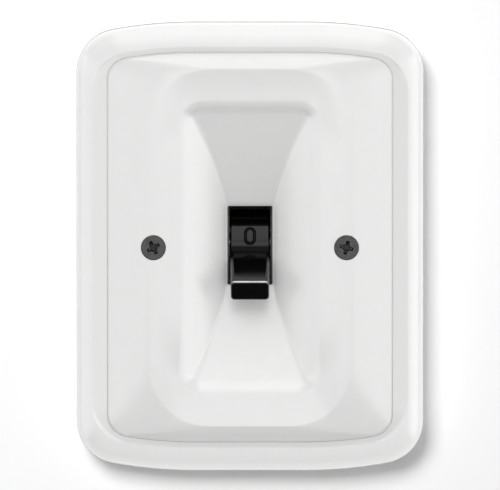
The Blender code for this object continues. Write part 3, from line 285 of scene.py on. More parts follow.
def makeCover():
    c = coverShape
    face = -c["faceHeight"]
    lip = -frameShape["lipHeight"] - 0.3
    stations, rounds = [], []

    def add(station, reach=0.0):
        stations.append(station)
        rounds.append(reach * mm)

    ledge, side = -c["rimHeight"] + c["grooveDepth"], c["clearance"] - c["grooveWidth"]
    add(windowStation(side, lip), 0.2)
    add(windowStation(side, ledge), 0.1)
    add(windowStation(c["clearance"], ledge), 0.1)
    add(windowStation(c["clearance"], -c["rimHeight"]), c["rimRound"])
    # The cushion: a slope inside the rim, then a slow settling towards the flat face.
    rim = np.array(windowStation(c["clearance"] + 0.3, -c["rimHeight"] - 0.05))
    top = np.array(plainStation(c["cushionHalfWidth"], c["cushionHalfHeight"], c["cushionCorner"],
                                face + c["cushionDrop"]))
    for share in np.linspace(0, 1, 12)[1:-1]:
        swell = np.array([0, 0, 0, 0, -c["cushionSwell"] * mm * math.sin(math.pi * share)])
        add(blend(rim, top, share) + swell)
    add(top, 0.7)
    for share in np.linspace(0, 1, 10)[1:]:
        add(plainStation(blend(c["cushionHalfWidth"], c["calmHalfWidth"], share),
                         blend(c["cushionHalfHeight"], c["calmHalfHeight"], share),
                         c["cushionCorner"] - c["calmTighter"] * share,
                         face + c["cushionDrop"] * (1 - share) ** 2))
    # The edge of the mouth: it rolls over with the square of the way, then a gentle band.
    for share in np.linspace(0, 1, 12):
        inset = c["stepWidth"] * share
        add(plainStation(c["mouthHalfWidth"] - inset, c["mouthHalfHeight"] - inset,
                         c["mouthCorner"] - inset, face + c["stepDrop"] * share ** 2))
    stepCorner = c["mouthCorner"] - c["stepWidth"]
    for share in np.linspace(0, 1, 12)[1:]:
        across = blend(c["stepWidth"], c["bandWidth"], share)
        along = blend(c["stepWidth"], c["bandHeight"], share)
        add(plainStation(c["mouthHalfWidth"] - across, c["mouthHalfHeight"] - along,
                         blend(stepCorner, c["bandCorner"], share),
                         face + blend(c["stepDrop"], c["bandDrop"], share)),
            0.5 if share == 1 else 0.0)
    for share in np.linspace(0, 1, 30)[1:]:
        y = face + blend(c["bandDrop"], c["slotDepth"], share)
        corner = blend(c["funnelCorner"], c["bandCorner"], (1 - share) ** 2)
        add(plainStation(*funnelSize(y), corner, y))
    slotX, slotZ, slotY = c["slotHalfWidth"], c["slotHalfHeight"], face + c["slotDepth"]
    add(plainStation(slotX, slotZ, c["slotCorner"], slotY + c["chamfer"]), 0.12)
    add(plainStation(slotX, slotZ, c["slotCorner"], slotY + c["wall"]), 0.15)
    add(plainStation(slotX + c["backStep"], slotZ + c["backStep"], 1.2, slotY + c["wall"]), 0.3)
    # The funnel's back follows its front: further back in y for the slopes, further out in x.
    upright = c["wall"] / math.cos(math.atan2(c["slotDepth"], c["mouthHalfHeight"] - slotZ))
    for share in np.linspace(0.95, 0.0, 9):
        y = blend(face, slotY - 0.3, share) + c["wall"]
        halfWidth = funnelSize(y)[0] + c["wall"] * (c["backFlare"] - c["backTaper"] * share)
        add(plainStation(halfWidth, funnelSize(y - upright)[1], 3.4 - 1.8 * share, y))
    add(plainStation(c["cushionHalfWidth"], c["cushionHalfHeight"] - 2.0, c["cushionCorner"],
                     face + c["wall"]), 0.5)
    add(windowStation(c["clearance"] + c["skirt"], -c["rimHeight"] + c["wall"] * 0.75), 0.5)
    add(windowStation(c["clearance"] + c["skirt"], lip), 0.2)
    profile = softProfile(stations, rounds)
    points = ringPoints(profile, frameShape["flatHalf"] * mm)
    # Above and below the funnel the face dips behind its edge: a parabola between the cushion's
    # edge and the mouth, which a smooth step takes back inside the funnel and to both sides.
    height, across = np.abs(points[..., 2]) / mm, np.abs(points[..., 0]) / mm
    way = np.clip((height - c["dipMiddle"]) / (c["cushionHalfHeight"] - c["dipMiddle"]), 0, 1)
    share = (1 - way ** 2) * smoothStep(c["dipStart"], c["dipMiddle"], height)
    share = share * (1 - smoothStep(c["dipSide"], c["dipSide"] + c["dipFade"], across))
    points[..., 1] += np.where(points[..., 1] < (face + 8.0) * mm, c["dip"] * mm * share, 0.0)
    cover = gridObject("frontCover", points, closeAlong=True)
    bore = [(0.0, -12.5), (c["boreRadius"], -12.5), (c["boreRadius"], -11.2), (2.0, -9.2),
            (2.0, -8.0), (0.0, -8.0)]
    return cutAway(cover, [turnedPiece("bore", bore, (x, 0.0), 96) for x in screwPlaces.values()])


def turnedPiece(name, profile, at, turns):
    # A profile of (radius, y) in millimetres turned round an axis along Y through `at`.
    radius, y = np.array(profile).T[:, :, None] * mm
    angle = np.linspace(0, math.tau, turns, endpoint=False)[None]
    radius = np.maximum(radius, 1e-6)
    points = np.stack([at[0] * mm + radius * np.cos(angle), y + 0 * angle,
                       at[1] * mm + radius * np.sin(angle)], -1)
    return gridObject(name, points, capEnds=True)


def makeBosses():
    # The two hollow posts behind the cover that its screws pass through.
    post = [(2.0, -9.6), (3.5, -9.6), (3.5, -3.7), (3.3, -3.5), (2.2, -3.5), (2.0, -3.7), (2.0, -9.6)]
    return [turnedPiece("coverBoss" + side, post, (x, 0.0), 64) for side, x in screwPlaces.items()]


leverShape = {
    "pivotY": 10.6, "restAngle": 28.0, "hubRadius": 9.7, "hubWidth": 10.2, "hubEdge": 0.35,
    "tailReach": 8.0, "tailHalf": 3.3,
    "handleStart": 5.3, "handleReach": 24.1, "handleWidth": 10.4, "handleTipWidth": 9.9,
    "handleThickness": 5.9, "handleTipThickness": 6.0, "handleRound": 0.95, "tipRound": 0.4,
    "droop": 0.26, "droopStart": 16.5,
    "markAngle": 41.8, "markHalfWidth": 1.16, "markHalfHeight": 2.0, "markStroke": 0.34,
    "markDepth": 0.42, "highlightInset": 0.26, "highlightLift": 0.05,
}


def tilt(points):
    # From the lever's own frame, handle along -Y, to its place: turned down and set on the pivot.
    angle = math.radians(leverShape["restAngle"])
    y, z = points[..., 1].copy(), points[..., 2].copy()
    points[..., 1] = y * math.cos(angle) - z * math.sin(angle) + leverShape["pivotY"] * mm
    points[..., 2] = y * math.sin(angle) + z * math.cos(angle)
    return points


def engraving(across, along):
    # Depth share of the two marks on the drum. The oval is a ring at equal distance from a
    # stretched circle; the bar is a rounded line, and both are cut as a V. along is the arc
    # length from the handle's axis.
    s = leverShape
    centre = math.radians(s["markAngle"]) * s["hubRadius"]
    straight = s["markHalfHeight"] - s["markHalfWidth"]
    up = along - centre
    ovalGap = np.abs(np.hypot(across, np.maximum(np.abs(up) - straight, 0.0)) - s["markHalfWidth"])
    down = along + centre
    barGap = np.hypot(across, np.maximum(np.abs(down) - s["markHalfHeight"] + s["markStroke"], 0.0))
    return np.clip(1.15 - np.minimum(ovalGap, barGap) / s["markStroke"], 0.0, 1.0)


def makeDrum():
    # Half drum and tail: the side profile is carried along X, and both flat sides close inwards.
    s = leverShape
    radius, tail, tailHalf = s["hubRadius"], s["tailReach"], s["tailHalf"]
    angle = np.linspace(math.pi / 2, 1.5 * math.pi, 420)
    arcY, arcZ = radius * np.cos(angle), radius * np.sin(angle)
    arcLength = (math.pi - angle) * radius  # positive above the handle's axis

    def line(start, end, count):
        t = np.linspace(0, 1, count, endpoint=False)[1:]
        return blend(start[0], end[0], t), blend(start[1], end[1], t)

    corners = [(0.0, -radius), (0.5, -radius), (0.5, -tailHalf), (tail, -tailHalf),
               (tail, tailHalf), (0.5, tailHalf), (0.5, radius), (0.0, radius)]
    y, z = [arcY], [arcZ]
    for start, end in zip(corners, corners[1:]):
        ownCorner = 0 if start == corners[0] else 1  # the arc ends in the first corner
        lineY, lineZ = line(start, end, 6)
        y += [[start[0]] * ownCorner, lineY]
        z += [[start[1]] * ownCorner, lineZ]
    y, z = np.concatenate(y), np.concatenate(z)
    along = np.concatenate([arcLength, np.full(len(y) - len(arcLength), 1e3)])
    half, edge = s["hubWidth"] / 2, s["hubEdge"]
    turn = np.linspace(0, math.pi / 2, 7)
    edgeX, edgeShrink = half - edge + edge * np.sin(turn), edge * (1 - np.cos(turn))
    flat = np.linspace(-(half - edge), half - edge, 132)
    x = np.concatenate([[-half] * 3, -edgeX[::-1], flat[1:-1], edgeX, [half] * 3])
    closing = radius * np.array([0.2, 0.6, 0.95])
    shrink = np.concatenate([closing[::-1], edgeShrink[::-1], 0 * flat[1:-1], edgeShrink, closing])
    scale = 1 - shrink / radius
    X, along = x[:, None] + 0 * y[None], along[None] + 0 * x[:, None]
    depth = s["markDepth"] * engraving(X, along) / radius
    Y, Z = y[None] * (scale[:, None] - depth), z[None] * (scale[:, None] - depth)
    return gridObject("leverDrum", tilt(np.stack([X, Y, Z], -1) * mm), capEnds=True)


def makeHandle():
    # Rounded rectangles carried along the handle; near the tip they shrink on a quarter circle.
    s = leverShape
    turn = np.linspace(0, math.pi / 2, 10)
    length = s["handleReach"] - s["tipRound"]
    reach = np.concatenate([np.linspace(s["handleStart"], length, 40),
                            length + s["tipRound"] * np.sin(turn[1:]), [s["handleReach"]] * 3])
    shrink = np.concatenate([[0] * 40, s["tipRound"] * (1 - np.cos(turn[1:])),
                             [1.1, 1.8, 2.4]])[:, None]
    share = ((reach - s["handleStart"]) / (s["handleReach"] - s["handleStart"]))[:, None]
    halfX = blend(s["handleWidth"], s["handleTipWidth"], share) / 2 - shrink
    # Both broad faces stay level and then droop towards the tip with the square of the way.
    way = np.clip((reach - s["droopStart"]) / (s["handleReach"] - s["droopStart"]), 0, None)[:, None]
    halfZ = blend(s["handleThickness"], s["handleTipThickness"], share) / 2
    halfZ = halfZ - s["droop"] * way ** 2 - shrink
    corner = np.minimum(np.maximum(s["handleRound"] - shrink * 0.4, 0.1), halfZ * 0.9)
    arc = np.linspace(0, math.pi / 2, 12)
    xs, zs = [], []
    for k, (signX, signZ) in enumerate(((1, 1), (-1, 1), (-1, -1), (1, -1))):
        angle = arc + k * math.pi / 2
        xs.append((halfX - corner) * signX + corner * np.cos(angle))
        zs.append((halfZ - corner) * signZ + corner * np.sin(angle))
    x, z = np.concatenate(xs, 1), np.concatenate(zs, 1)
    points = np.stack([x, -reach[:, None] + 0 * x, z], -1) * mm
    return gridObject("leverHandle", tilt(points), capEnds=True)


# The head's front lies at headY and looks towards facing; the recess is cut recessDepth into it.
screwShapes = {
    "cover": {"material": "dark_steel", "headY": -11.42, "facing": -1, "headRadius": 3.2,
              "headHeight": 2.0, "edge": 0.16, "countersunk": True, "length": 15.5, "shank": 1.7,
              "pitch": 0.7, "recess": "cross", "recessDepth": 1.5, "recessHalf": 1.8,
              "recessWidth": 0.46},
    "strap": {"material": "zinc_steel", "headY": -3.4, "facing": -1, "headRadius": 2.8,
              "headHeight": 1.9, "edge": 0.3, "countersunk": False, "length": 14.0, "shank": 1.5,
              "pitch": 0.6, "recess": "slot", "recessDepth": 0.9, "recessWidth": 0.45},
    "terminal": {"material": "brass", "headY": 34.4, "facing": 1, "headRadius": 3.3,
                 "headHeight": 2.2, "edge": 0.35, "countersunk": False, "length": 3.9, "shank": 1.6,
                 "pitch": 0.7, "recess": "slot", "recessDepth": 1.0, "recessWidth": 0.45},
}


def makeScrew(name, kind, at, turn):
    # Rings from the middle of the head out to its edge, down its side and along the shank to the
    # tip. The recess lowers the head's rings by a smooth step of the distance to its walls, and
    # the thread is a triangle wave of the angle and the place along the shank.
    s = screwShapes[kind]
    angle = np.linspace(0, math.tau, 168, endpoint=False)[None]
    head = np.linspace(0.002, s["headRadius"] - s["edge"], 64)
    bend = np.linspace(0, math.pi / 2, 7)[1:]
    rimR = s["headRadius"] - s["edge"] * (1 - np.sin(bend))
    rimY = s["edge"] * (1 - np.cos(bend))
    side = [(s["shank"], s["headHeight"])]
    if not s["countersunk"]:
        side = [(s["headRadius"], s["headHeight"] - 0.15),
                (s["headRadius"] - 0.15, s["headHeight"])] + side
    sideR, sideY = np.array(side).T
    start = s["headHeight"] + 0.5
    total = s["length"] + (0.0 if s["countersunk"] else s["headHeight"])
    threadY = np.arange(start, total - 0.5, s["pitch"] / 8)
    tipR, tipY = np.array([s["shank"] - 0.5, s["shank"] - 0.6]), np.array([total - 0.1, total])
    radius = np.concatenate([head, rimR, sideR, threadY * 0 + s["shank"], tipR])[:, None] + 0 * angle
    depth = np.concatenate([head * 0, rimY, sideY, threadY, tipY])[:, None] + 0 * angle
    first = len(head) + len(rimR) + len(sideR)
    phase = threadY[:, None] / s["pitch"] - angle / math.tau
    wave = np.abs((phase % 1.0) * 2 - 1)
    fadeIn = smoothStep(0, 1.0, threadY - start) * smoothStep(0, 0.8, total - 0.5 - threadY)
    radius[first:first + len(threadY)] -= 0.32 * wave * fadeIn[:, None] * min(s["pitch"], 0.7)
    rings = len(head) + len(rimR)
    localX = radius[:rings] * np.cos(angle - math.radians(turn))
    localZ = radius[:rings] * np.sin(angle - math.radians(turn))
    if s["recess"] == "cross":
        arms = [smoothStep(0.0, 0.34, s["recessHalf"] - np.abs(u))
                * smoothStep(0.0, 0.16, s["recessWidth"] - np.abs(v))
                for u, v in ((localX, localZ), (localZ, localX))]
        spread = np.hypot(localX, localZ)
        core = smoothStep(0.0, 0.2, 1.0 - spread)
        hollow = np.maximum(arms[0], arms[1]) * (1.0 - 0.38 * spread / s["recessHalf"])
        depth[:rings] += s["recessDepth"] * np.maximum(hollow, core)
    else:
        depth[:rings] += s["recessDepth"] * smoothStep(0.0, 0.1, s["recessWidth"] - np.abs(localZ))
    points = np.stack([at[0] + radius * np.cos(angle), s["headY"] - s["facing"] * depth,
                       at[1] + radius * np.sin(angle)], -1) * mm
    return gridObject(name, points, capEnds=True, sharpAngle=roundedSharpEdge)


coilShapes = {
    "toggle": {"radius": 1.7, "wire": 0.6, "turns": 5, "flatTurn": 0.75},
    "bridge": {"radius": 1.25, "wire": 0.4, "turns": 4, "flatTurn": 0.75},
}
toggleSpring = {"start": (0.0, 25.43, 0.36), "length": 6.69, "lean": 64.8}


def makeCoil(name, kind, start, length, lean):
    # A round wire along a helix that stands on start and leans from +Z by `lean` degrees towards
    # -Y. Over flatTurn at each end it climbs by little more than its own thickness.
    s = coilShapes[kind]
    turns, flat = s["turns"], s["flatTurn"]
    turn = np.linspace(0, turns, turns * 48 + 1)
    ends = np.clip(turn / flat, 0, 1) + np.clip((turn - turns + flat) / flat, 0, 1)
    middle = np.clip((turn - flat) / (turns - 2 * flat), 0, 1)
    climb = s["wire"] * 1.25
    rise = length - s["wire"] - 2 * climb
    height = (s["wire"] / 2 + climb * ends + rise * middle)[:, None]
    around = (math.tau * turn)[:, None]
    ring = np.linspace(0, math.tau, 14, endpoint=False)[None]
    radius = s["radius"] + s["wire"] / 2 * np.cos(ring)
    along = height + s["wire"] / 2 * np.sin(ring)
    tip = math.radians(lean)
    across = radius * np.sin(around)
    points = np.stack([start[0] + radius * np.cos(around),
                       start[1] + across * math.cos(tip) - along * math.sin(tip),
                       start[2] + across * math.sin(tip) + along * math.cos(tip)], -1) * mm
    return gridObject(name, points, capEnds=True, sharpAngle=roundedSharpEdge)


# Short calls for building one node tree.
class Graph:
    def __init__(self, tree):
        self.tree = tree

    def node(self, kind, **settings):
        made = self.tree.nodes.new(kind)
        for key, value in settings.items():
            setattr(made, key, value)
        return made

    def link(self, source, target):
        self.tree.links.new(source, target)

    def feed(self, socket, value):
        # Links another node's output or sets a number or colour. None keeps the default.
        if isinstance(value, bpy.types.NodeSocket):
            self.link(value, socket)
        elif value is not None:
            socket.default_value = (*value, 1.0) if isinstance(value, tuple) else value

    def fill(self, node, values):
        for key, value in values.items():
            self.feed(node.inputs[key], value)

    def math(self, operation, a, b=None, clamp=False):
        made = self.node("ShaderNodeMath", operation=operation, use_clamp=clamp)
        self.feed(made.inputs[0], a)
        self.feed(made.inputs[1], b)
        return made.outputs[0]

    def length(self, a, b):
        squares = [self.math("MULTIPLY", value, value) for value in (a, b)]
        return self.math("SQRT", self.math("ADD", *squares))

    def axes(self, vector):
        split = self.node("ShaderNodeSeparateXYZ")
        self.link(vector, split.inputs[0])
        return split.outputs

    def stretch(self, vector, scale, turn=(0.0, 0.0, 0.0)):
        made = self.node("ShaderNodeMapping")
        made.inputs["Scale"].default_value = scale
        made.inputs["Rotation"].default_value = turn
        self.link(vector, made.inputs["Vector"])
        return made.outputs["Vector"]

    def noise(self, vector, scale, detail=2.0, roughness=0.5):
        made = self.node("ShaderNodeTexNoise")
        self.fill(made, {"Vector": vector, "Scale": scale, "Detail": detail, "Roughness": roughness})
        return made.outputs["Fac"]

    def span(self, value, low, high, outLow, outHigh, **settings):
        made = self.node("ShaderNodeMapRange", **settings)
        self.fill(made, {"Value": value, "From Min": low, "From Max": high, "To Min": outLow,
                         "To Max": outHigh})
        return made.outputs["Result"]

    def mixColor(self, share, first, second):
        made = self.node("ShaderNodeMix", data_type="RGBA")
        for index, value in ((0, share), (6, first), (7, second)):
            self.feed(made.inputs[index], value)
        return made.outputs[2]

    def group(self, tree, values):
        made = self.node("ShaderNodeGroup", node_tree=tree)
        self.fill(made, values)
        return made.outputs

    def mixSurface(self, share, first, second):
        mix = self.node("ShaderNodeMixShader")
        for socket, value in zip(mix.inputs, (share, first, second)):
            self.link(value, socket)
        self.link(mix.outputs[0], self.tree.nodes["Material Output"].inputs["Surface"])


def newGroup(name, values, results):
    # A node group with a vector input, number inputs with their defaults, and number outputs.
    tree = bpy.data.node_groups.new(name, "ShaderNodeTree")
    tree.interface.new_socket("Vector", in_out="INPUT", socket_type="NodeSocketVector")
    for label, value in values.items():
        socket = tree.interface.new_socket(label, in_out="INPUT", socket_type="NodeSocketFloat")
        socket.default_value = value
    for label in results:
        tree.interface.new_socket(label, in_out="OUTPUT", socket_type="NodeSocketFloat")
    g = Graph(tree)
    return tree, g, g.node("NodeGroupInput").outputs, g.node("NodeGroupOutput")


def mouldedSkin():
    # Moulded plastic: a slow waviness from shrinkage, a fine grain, and a few faint handling marks.
    tree, g, source, result = newGroup("mouldedSkin", {
        "Wave Size": 90.0, "Grain Share": 0.1}, ("Height", "Mottle", "Marks"))
    place = source["Vector"]
    wave = g.noise(place, source["Wave Size"], 1.0)
    grain = g.noise(place, 2600.0, 3.0, 0.6)
    lines = g.noise(g.stretch(place, (1.0, 1.0, 0.06), (0.4, 0.9, 0.5)), 1900.0, 1.0)
    marks = g.math("MULTIPLY", g.span(lines, 0.68, 0.74, 0.0, 1.0),
                   g.span(g.noise(place, 130.0), 0.52, 0.66, 0.0, 1.0))
    g.fill(result, {"Height": g.math("ADD", wave, g.math("MULTIPLY", grain, source["Grain Share"])),
                    "Mottle": g.noise(place, 240.0, 4.0, 0.55), "Marks": marks})
    return tree


def drawnMetal():
    # Rolled or drawn metal: fine lines along one axis, over cloudy spots of tarnish.
    tree, g, source, result = newGroup("drawnMetal", {"Spot Size": 420.0},
                                       ("Height", "Lines", "Tarnish"))
    place = source["Vector"]
    lines = g.noise(g.stretch(place, (0.04, 1.0, 1.0)), 5200.0)
    pits = g.math("MULTIPLY", g.noise(place, 6500.0), 0.5)
    spots = g.noise(place, source["Spot Size"], 5.0, 0.6)
    g.fill(result, {"Height": g.math("ADD", lines, pits), "Lines": lines,
                    "Tarnish": g.span(spots, 0.5, 0.85, 0.0, 1.0)})
    return tree


skinGroup = mouldedSkin()
metalGroup = drawnMetal()


# Where the masks of the materials start and end, in millimetres.
maskLimits = {
    "crest": (-0.2, 0.45), "lowSlope": (-50.0, -42.0), "funnelY": (-10.5, -9.4),
    "funnelX": (17.0, 19.0), "funnelZ": (37.0, 39.0), "highlightLine": (0.16, 0.34),
    "handled": (10.0, 12.0),
}


def limitMask(g, value, key, outLow=1.0, outHigh=0.0, start=0.0):
    low, high = (start + limit for limit in maskLimits[key])
    return g.span(value, low * mm, high * mm, outLow, outHigh)


def insideCrest(g, place):
    # 1 on the frame's inner slope. The crest's line is a rectangle with round corners, dropped
    # beside its flat middle by the square of the distance over twice the crown's radius.
    f = frameShape
    sides = g.axes(place)
    x, z = (g.math("ABSOLUTE", sides[axis]) for axis in "XZ")
    past = g.math("MAXIMUM", g.math("SUBTRACT", x, f["flatHalf"] * mm), 0.0)
    bend = 2 * (f["crownRadius"] - f["crestEnd"]) * mm
    lifted = g.math("ADD", z, g.math("DIVIDE", g.math("MULTIPLY", past, past), bend))
    radius = f["corner"] - f["crestTighter"]
    edges = ((lifted, f["halfHeight"] - f["crestEnd"]), (x, f["halfWidth"] - f["crestSide"]))
    gaps = [g.math("MAXIMUM", g.math("SUBTRACT", value, (limit - radius) * mm), 0.0)
            for value, limit in edges]
    return limitMask(g, g.length(*gaps), "crest", start=radius)


def insideFunnel(g, place):
    # 1 on the funnel's walls: behind the mouth's band and within its width and height.
    sides = g.axes(place)
    wide, high = (limitMask(g, g.math("ABSOLUTE", sides[axis]), "funnel" + axis) for axis in "XZ")
    deep = limitMask(g, sides["Y"], "funnelY", 0.0, 1.0)
    return g.math("MULTIPLY", deep, g.math("MULTIPLY", wide, high))


def paintedEdgeHighlight(g, place, mottle):
    # A thin painted highlight along the upper edge of the handle's end: a light line in the colour that
    # stands in for the lamp's reflection there.
    s = leverShape
    angle = math.radians(s["restAngle"])
    out = s["handleReach"] - s["highlightInset"]
    up = s["handleTipThickness"] / 2 - s["droop"] + s["highlightLift"]
    edgeY = s["pivotY"] - out * math.cos(angle) - up * math.sin(angle)
    edgeZ = up * math.cos(angle) - out * math.sin(angle)
    sides = g.axes(place)
    gaps = [g.math("SUBTRACT", sides[axis], at * mm) for axis, at in (("Y", edgeY), ("Z", edgeZ))]
    line = limitMask(g, g.length(*gaps), "highlightLine")
    return g.math("MULTIPLY", line, g.span(mottle, 0.3, 0.5, 0.7, 1.0))


def startMaterial(name, settings):
    made = bpy.data.materials.new(name)
    made.use_nodes = True
    g = Graph(made.node_tree)
    shader = made.node_tree.nodes["Principled BSDF"]
    g.fill(shader, settings)
    return made, g, shader


def addBump(g, shader, height, strength, distance):
    bump = g.node("ShaderNodeBump")
    g.fill(bump, {"Height": height, "Strength": strength, "Distance": distance})
    g.link(bump.outputs["Normal"], shader.inputs["Normal"])


def plasticMaterial(name, look):
    made, g, shader = startMaterial(name, {"IOR": 1.5})
    place = g.node("ShaderNodeTexCoord").outputs["Object"]
    skin = g.group(skinGroup, {"Vector": place, "Wave Size": look.get("waveSize"),
                               "Grain Share": look["grainShare"]})
    color = g.mixColor(g.span(skin["Mottle"], 0.35, 0.65, 0.0, 1.0), look["color"], look["tint"])
    # Painted shade: along the bottom, the frame's inner slope is given a darker colour.
    if look.get("paintedLowSlopeShade"):
        low = limitMask(g, g.axes(place)["Z"], "lowSlope")
        slope = g.mixColor(low, look["color"], look["paintedLowSlopeShade"])
        color = g.mixColor(insideCrest(g, place), color, slope)
    # Painted highlight: a light line along the upper edge of the handle's end.
    if look.get("paintedEdgeHighlight"):
        color = g.mixColor(paintedEdgeHighlight(g, place, skin["Mottle"]), color, look["paintedEdgeHighlight"])
    rough = g.span(skin["Mottle"], 0.3, 0.7, look["roughness"], look["roughness"] * 1.15)
    marks = g.math("MULTIPLY", skin["Marks"], look.get("marks", 0.08))
    rough = g.math("ADD", rough, marks, clamp=True)
    for key, mask in (("slopeSatin", insideCrest), ("funnelSatin", insideFunnel)):
        if look.get(key):
            rough = g.math("ADD", rough, g.math("MULTIPLY", mask(g, place), look[key]), clamp=True)
    sheen = look.get("sheen", 0.5)
    if look.get("handled"):
        # Fingers polish the handle, while the drum behind it stays duller.
        sides = g.axes(place)
        fromPivot = g.math("SUBTRACT", sides["Y"], leverShape["pivotY"] * mm)
        reach = g.length(fromPivot, sides["Z"])
        sheen = limitMask(g, reach, "handled", look["sheen"], look["handled"])
    g.fill(shader, {"Base Color": color, "Roughness": rough, "Specular IOR Level": sheen})
    addBump(g, shader, skin["Height"], look["bump"], 0.0002)
    if look.get("rim"):
        # Painted shade: seen along the surface, the outline is mixed towards a dull grey, so that it
        # reads a shade darker than the white behind it.
        weight = g.node("ShaderNodeLayerWeight")
        weight.inputs["Blend"].default_value = 0.5
        paintedOutlineShade = g.node("ShaderNodeBsdfDiffuse")
        g.fill(paintedOutlineShade, {"Color": (0.30, 0.30, 0.30)})
        share = g.span(weight.outputs["Facing"], 0.68, 0.98, 0.0, look["rim"])
        g.mixSurface(share, shader.outputs[0], paintedOutlineShade.outputs[0])
    return made


def metalMaterial(name, look):
    made, g, shader = startMaterial(name, {"Metallic": 1.0})
    place = g.node("ShaderNodeTexCoord").outputs["Object"]
    metal = g.group(metalGroup, {"Vector": place, "Spot Size": look.get("spotSize")})
    color = g.mixColor(metal["Tarnish"], look["color"], look["tarnish"])
    if look.get("sootAndShade"):
        # Full at the first limit and gone at the second. In front of the contact chamber's back wall it
        # is arc soot and also painted shade, which keeps the brass seen through the slot dark; in the
        # recess of the cover's screws it is painted shade.
        full, none = (limit * mm for limit in look["sootAndShadeLimits"])
        color = g.mixColor(g.span(g.axes(place)["Y"], full, none, 1.0, 0.0), color, look["sootAndShade"])
    rough = g.span(metal["Lines"], 0.3, 0.7, look["roughness"], look["roughness"] * 1.5)
    rough = g.math("ADD", rough, g.math("MULTIPLY", metal["Tarnish"], 0.2), clamp=True)
    g.fill(shader, {"Base Color": color, "Roughness": rough})
    addBump(g, shader, metal["Height"], 0.25, 0.00004)
    return made


whitePlastic = {"color": (0.91, 0.91, 0.903), "tint": (0.90, 0.90, 0.894), "roughness": 0.13,
                "bump": 0.06, "waveSize": 60.0, "grainShare": 0.02}
plasticLooks = {
    "frame_plastic": {**whitePlastic, "rim": 0.9, "slopeSatin": 0.85,
                      "paintedLowSlopeShade": (0.74, 0.74, 0.735)},
    "cover_plastic": {**whitePlastic, "funnelSatin": 0.12},
    "black_plastic": {"color": (0.002, 0.002, 0.0022), "tint": (0.003, 0.003, 0.0033), "roughness": 0.12,
                      "bump": 0.08, "waveSize": 140.0, "grainShare": 0.04, "marks": 0.12, "sheen": 0.19,
                      "handled": 0.8, "paintedEdgeHighlight": (0.8, 0.8, 0.81)},
    "ivory_moulding": {"color": (0.62, 0.58, 0.47), "tint": (0.57, 0.53, 0.42), "roughness": 0.42,
                       "bump": 0.3, "grainShare": 0.3},
    "dark_moulding": {"color": (0.035, 0.03, 0.028), "tint": (0.05, 0.042, 0.037), "roughness": 0.4,
                      "bump": 0.35, "grainShare": 0.35},
}
metalLooks = {
    "dark_steel": {"color": (0.055, 0.055, 0.057), "tarnish": (0.035, 0.035, 0.037), "roughness": 0.3,
                   "sootAndShade": (0.026, 0.026, 0.026), "sootAndShadeLimits": (-10.4, -11.2)},
    "bright_steel": {"color": (0.50, 0.50, 0.51), "tarnish": (0.34, 0.33, 0.32), "roughness": 0.28},
    "zinc_steel": {"color": (0.62, 0.63, 0.65), "tarnish": (0.48, 0.49, 0.51), "roughness": 0.34,
                   "spotSize": 260.0},
    "brass": {"color": (0.72, 0.52, 0.22), "tarnish": (0.50, 0.34, 0.13), "roughness": 0.28,
              "sootAndShade": (0.05, 0.035, 0.02), "sootAndShadeLimits": (28.0, 29.5)},
    "copper": {"color": (0.72, 0.40, 0.26), "tarnish": (0.46, 0.24, 0.15), "roughness": 0.3,
               "sootAndShade": (0.16, 0.08, 0.05), "sootAndShadeLimits": (28.0, 29.5)},
}
materials = {name: plasticMaterial(name, look) for name, look in plasticLooks.items()}
materials.update({name: metalMaterial(name, look) for name, look in metalLooks.items()})
print("stage: materials built,", len(materials))


def dress(item, slotName, body, replaced=()):
    item.data.materials.clear()
    item.data.materials.append(materials[slotName])
    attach(item, body)
    if replaced:
        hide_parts(*replaced)


for entry in frame["record"]["subparts"]:
    for slot in nodes[entry["node"]].material_slots:
        slot.material = materials[entry["material_slot"]]

dress(makeFrame(), "frame_plastic", "housing", ["surround_frame"])
dress(makeCover(), "cover_plastic", "housing", ["front_cover"])
for boss in makeBosses():
    dress(boss, "cover_plastic", "housing")
print("stage: frame and cover made")
dress(makeDrum(), "black_plastic", "lever", ["lever"])
dress(makeHandle(), "black_plastic", "lever")
print("stage: lever made")
# Where each screw sits and by how many degrees its recess is turned.
screwPlan = [("cover", "coverScrewLeft", "cover_screw_left", (screwPlaces["Left"], 0.0), 28.0),
             ("cover", "coverScrewRight", "cover_screw_right", (screwPlaces["Right"], 0.0), -15.0),
             ("strap", "strapScrew1", "strap_screw_1", (-18.6, 5.5), 20.0),
             ("strap", "strapScrew2", "strap_screw_2", (18.6, -5.5), 20.0)]
slotTurns = {"line": (64.0, 93.0, -12.0), "load": (-7.0, 22.0, 51.0)}
for row, z in (("line", 15.5), ("load", -15.5)):
    for pole, x, turn in zip((1, 2, 3), (-13.8, 0.0, 13.8), slotTurns[row]):
        screwPlan.append(("terminal", "%sScrew%d" % (row, pole), "%s_screw_%d" % (row, pole), (x, z),
                          turn))
for kind, name, node, at, turn in screwPlan:
    dress(makeScrew(name, kind, at, turn), screwShapes[kind]["material"], "housing", [node])
print("stage: screws made")
toggleCoil = makeCoil("toggleCoil", "toggle", **toggleSpring)
dress(toggleCoil, "bright_steel", "spring", ["toggle_spring"])
for pole in (1, 2, 3):
    low, high = (corner * 1000 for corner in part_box("bridge_spring_%d" % pole))
    x, y = ((low + high) / 2)[:2]
    length = high[2] - low[2]
    coil = makeCoil("bridgeCoil%d" % pole, "bridge", (x, y, low[2]), length, 0.0)
    dress(coil, "bright_steel", "carrier", ["bridge_spring_%d" % pole])
    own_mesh(coil)
print("stage: springs made")


stageLook = {"wallHalf": 1.3, "wallY": 0.00005, "holeHalf": 0.043, "wallColor": 0.93,
             "floorZ": -1.1, "floorDepth": 0.45, "floorColor": 0.8}


def stageMaterial(name, shade, frontOnly=False):
    made, g, shader = startMaterial(name, {"Base Color": (shade, shade, shade), "Roughness": 0.9,
                                           "Specular IOR Level": 0.0})
    if frontOnly:
        back = g.node("ShaderNodeNewGeometry").outputs["Backfacing"]
        g.mixSurface(back, shader.outputs[0], g.node("ShaderNodeBsdfTransparent").outputs[0])
    return made


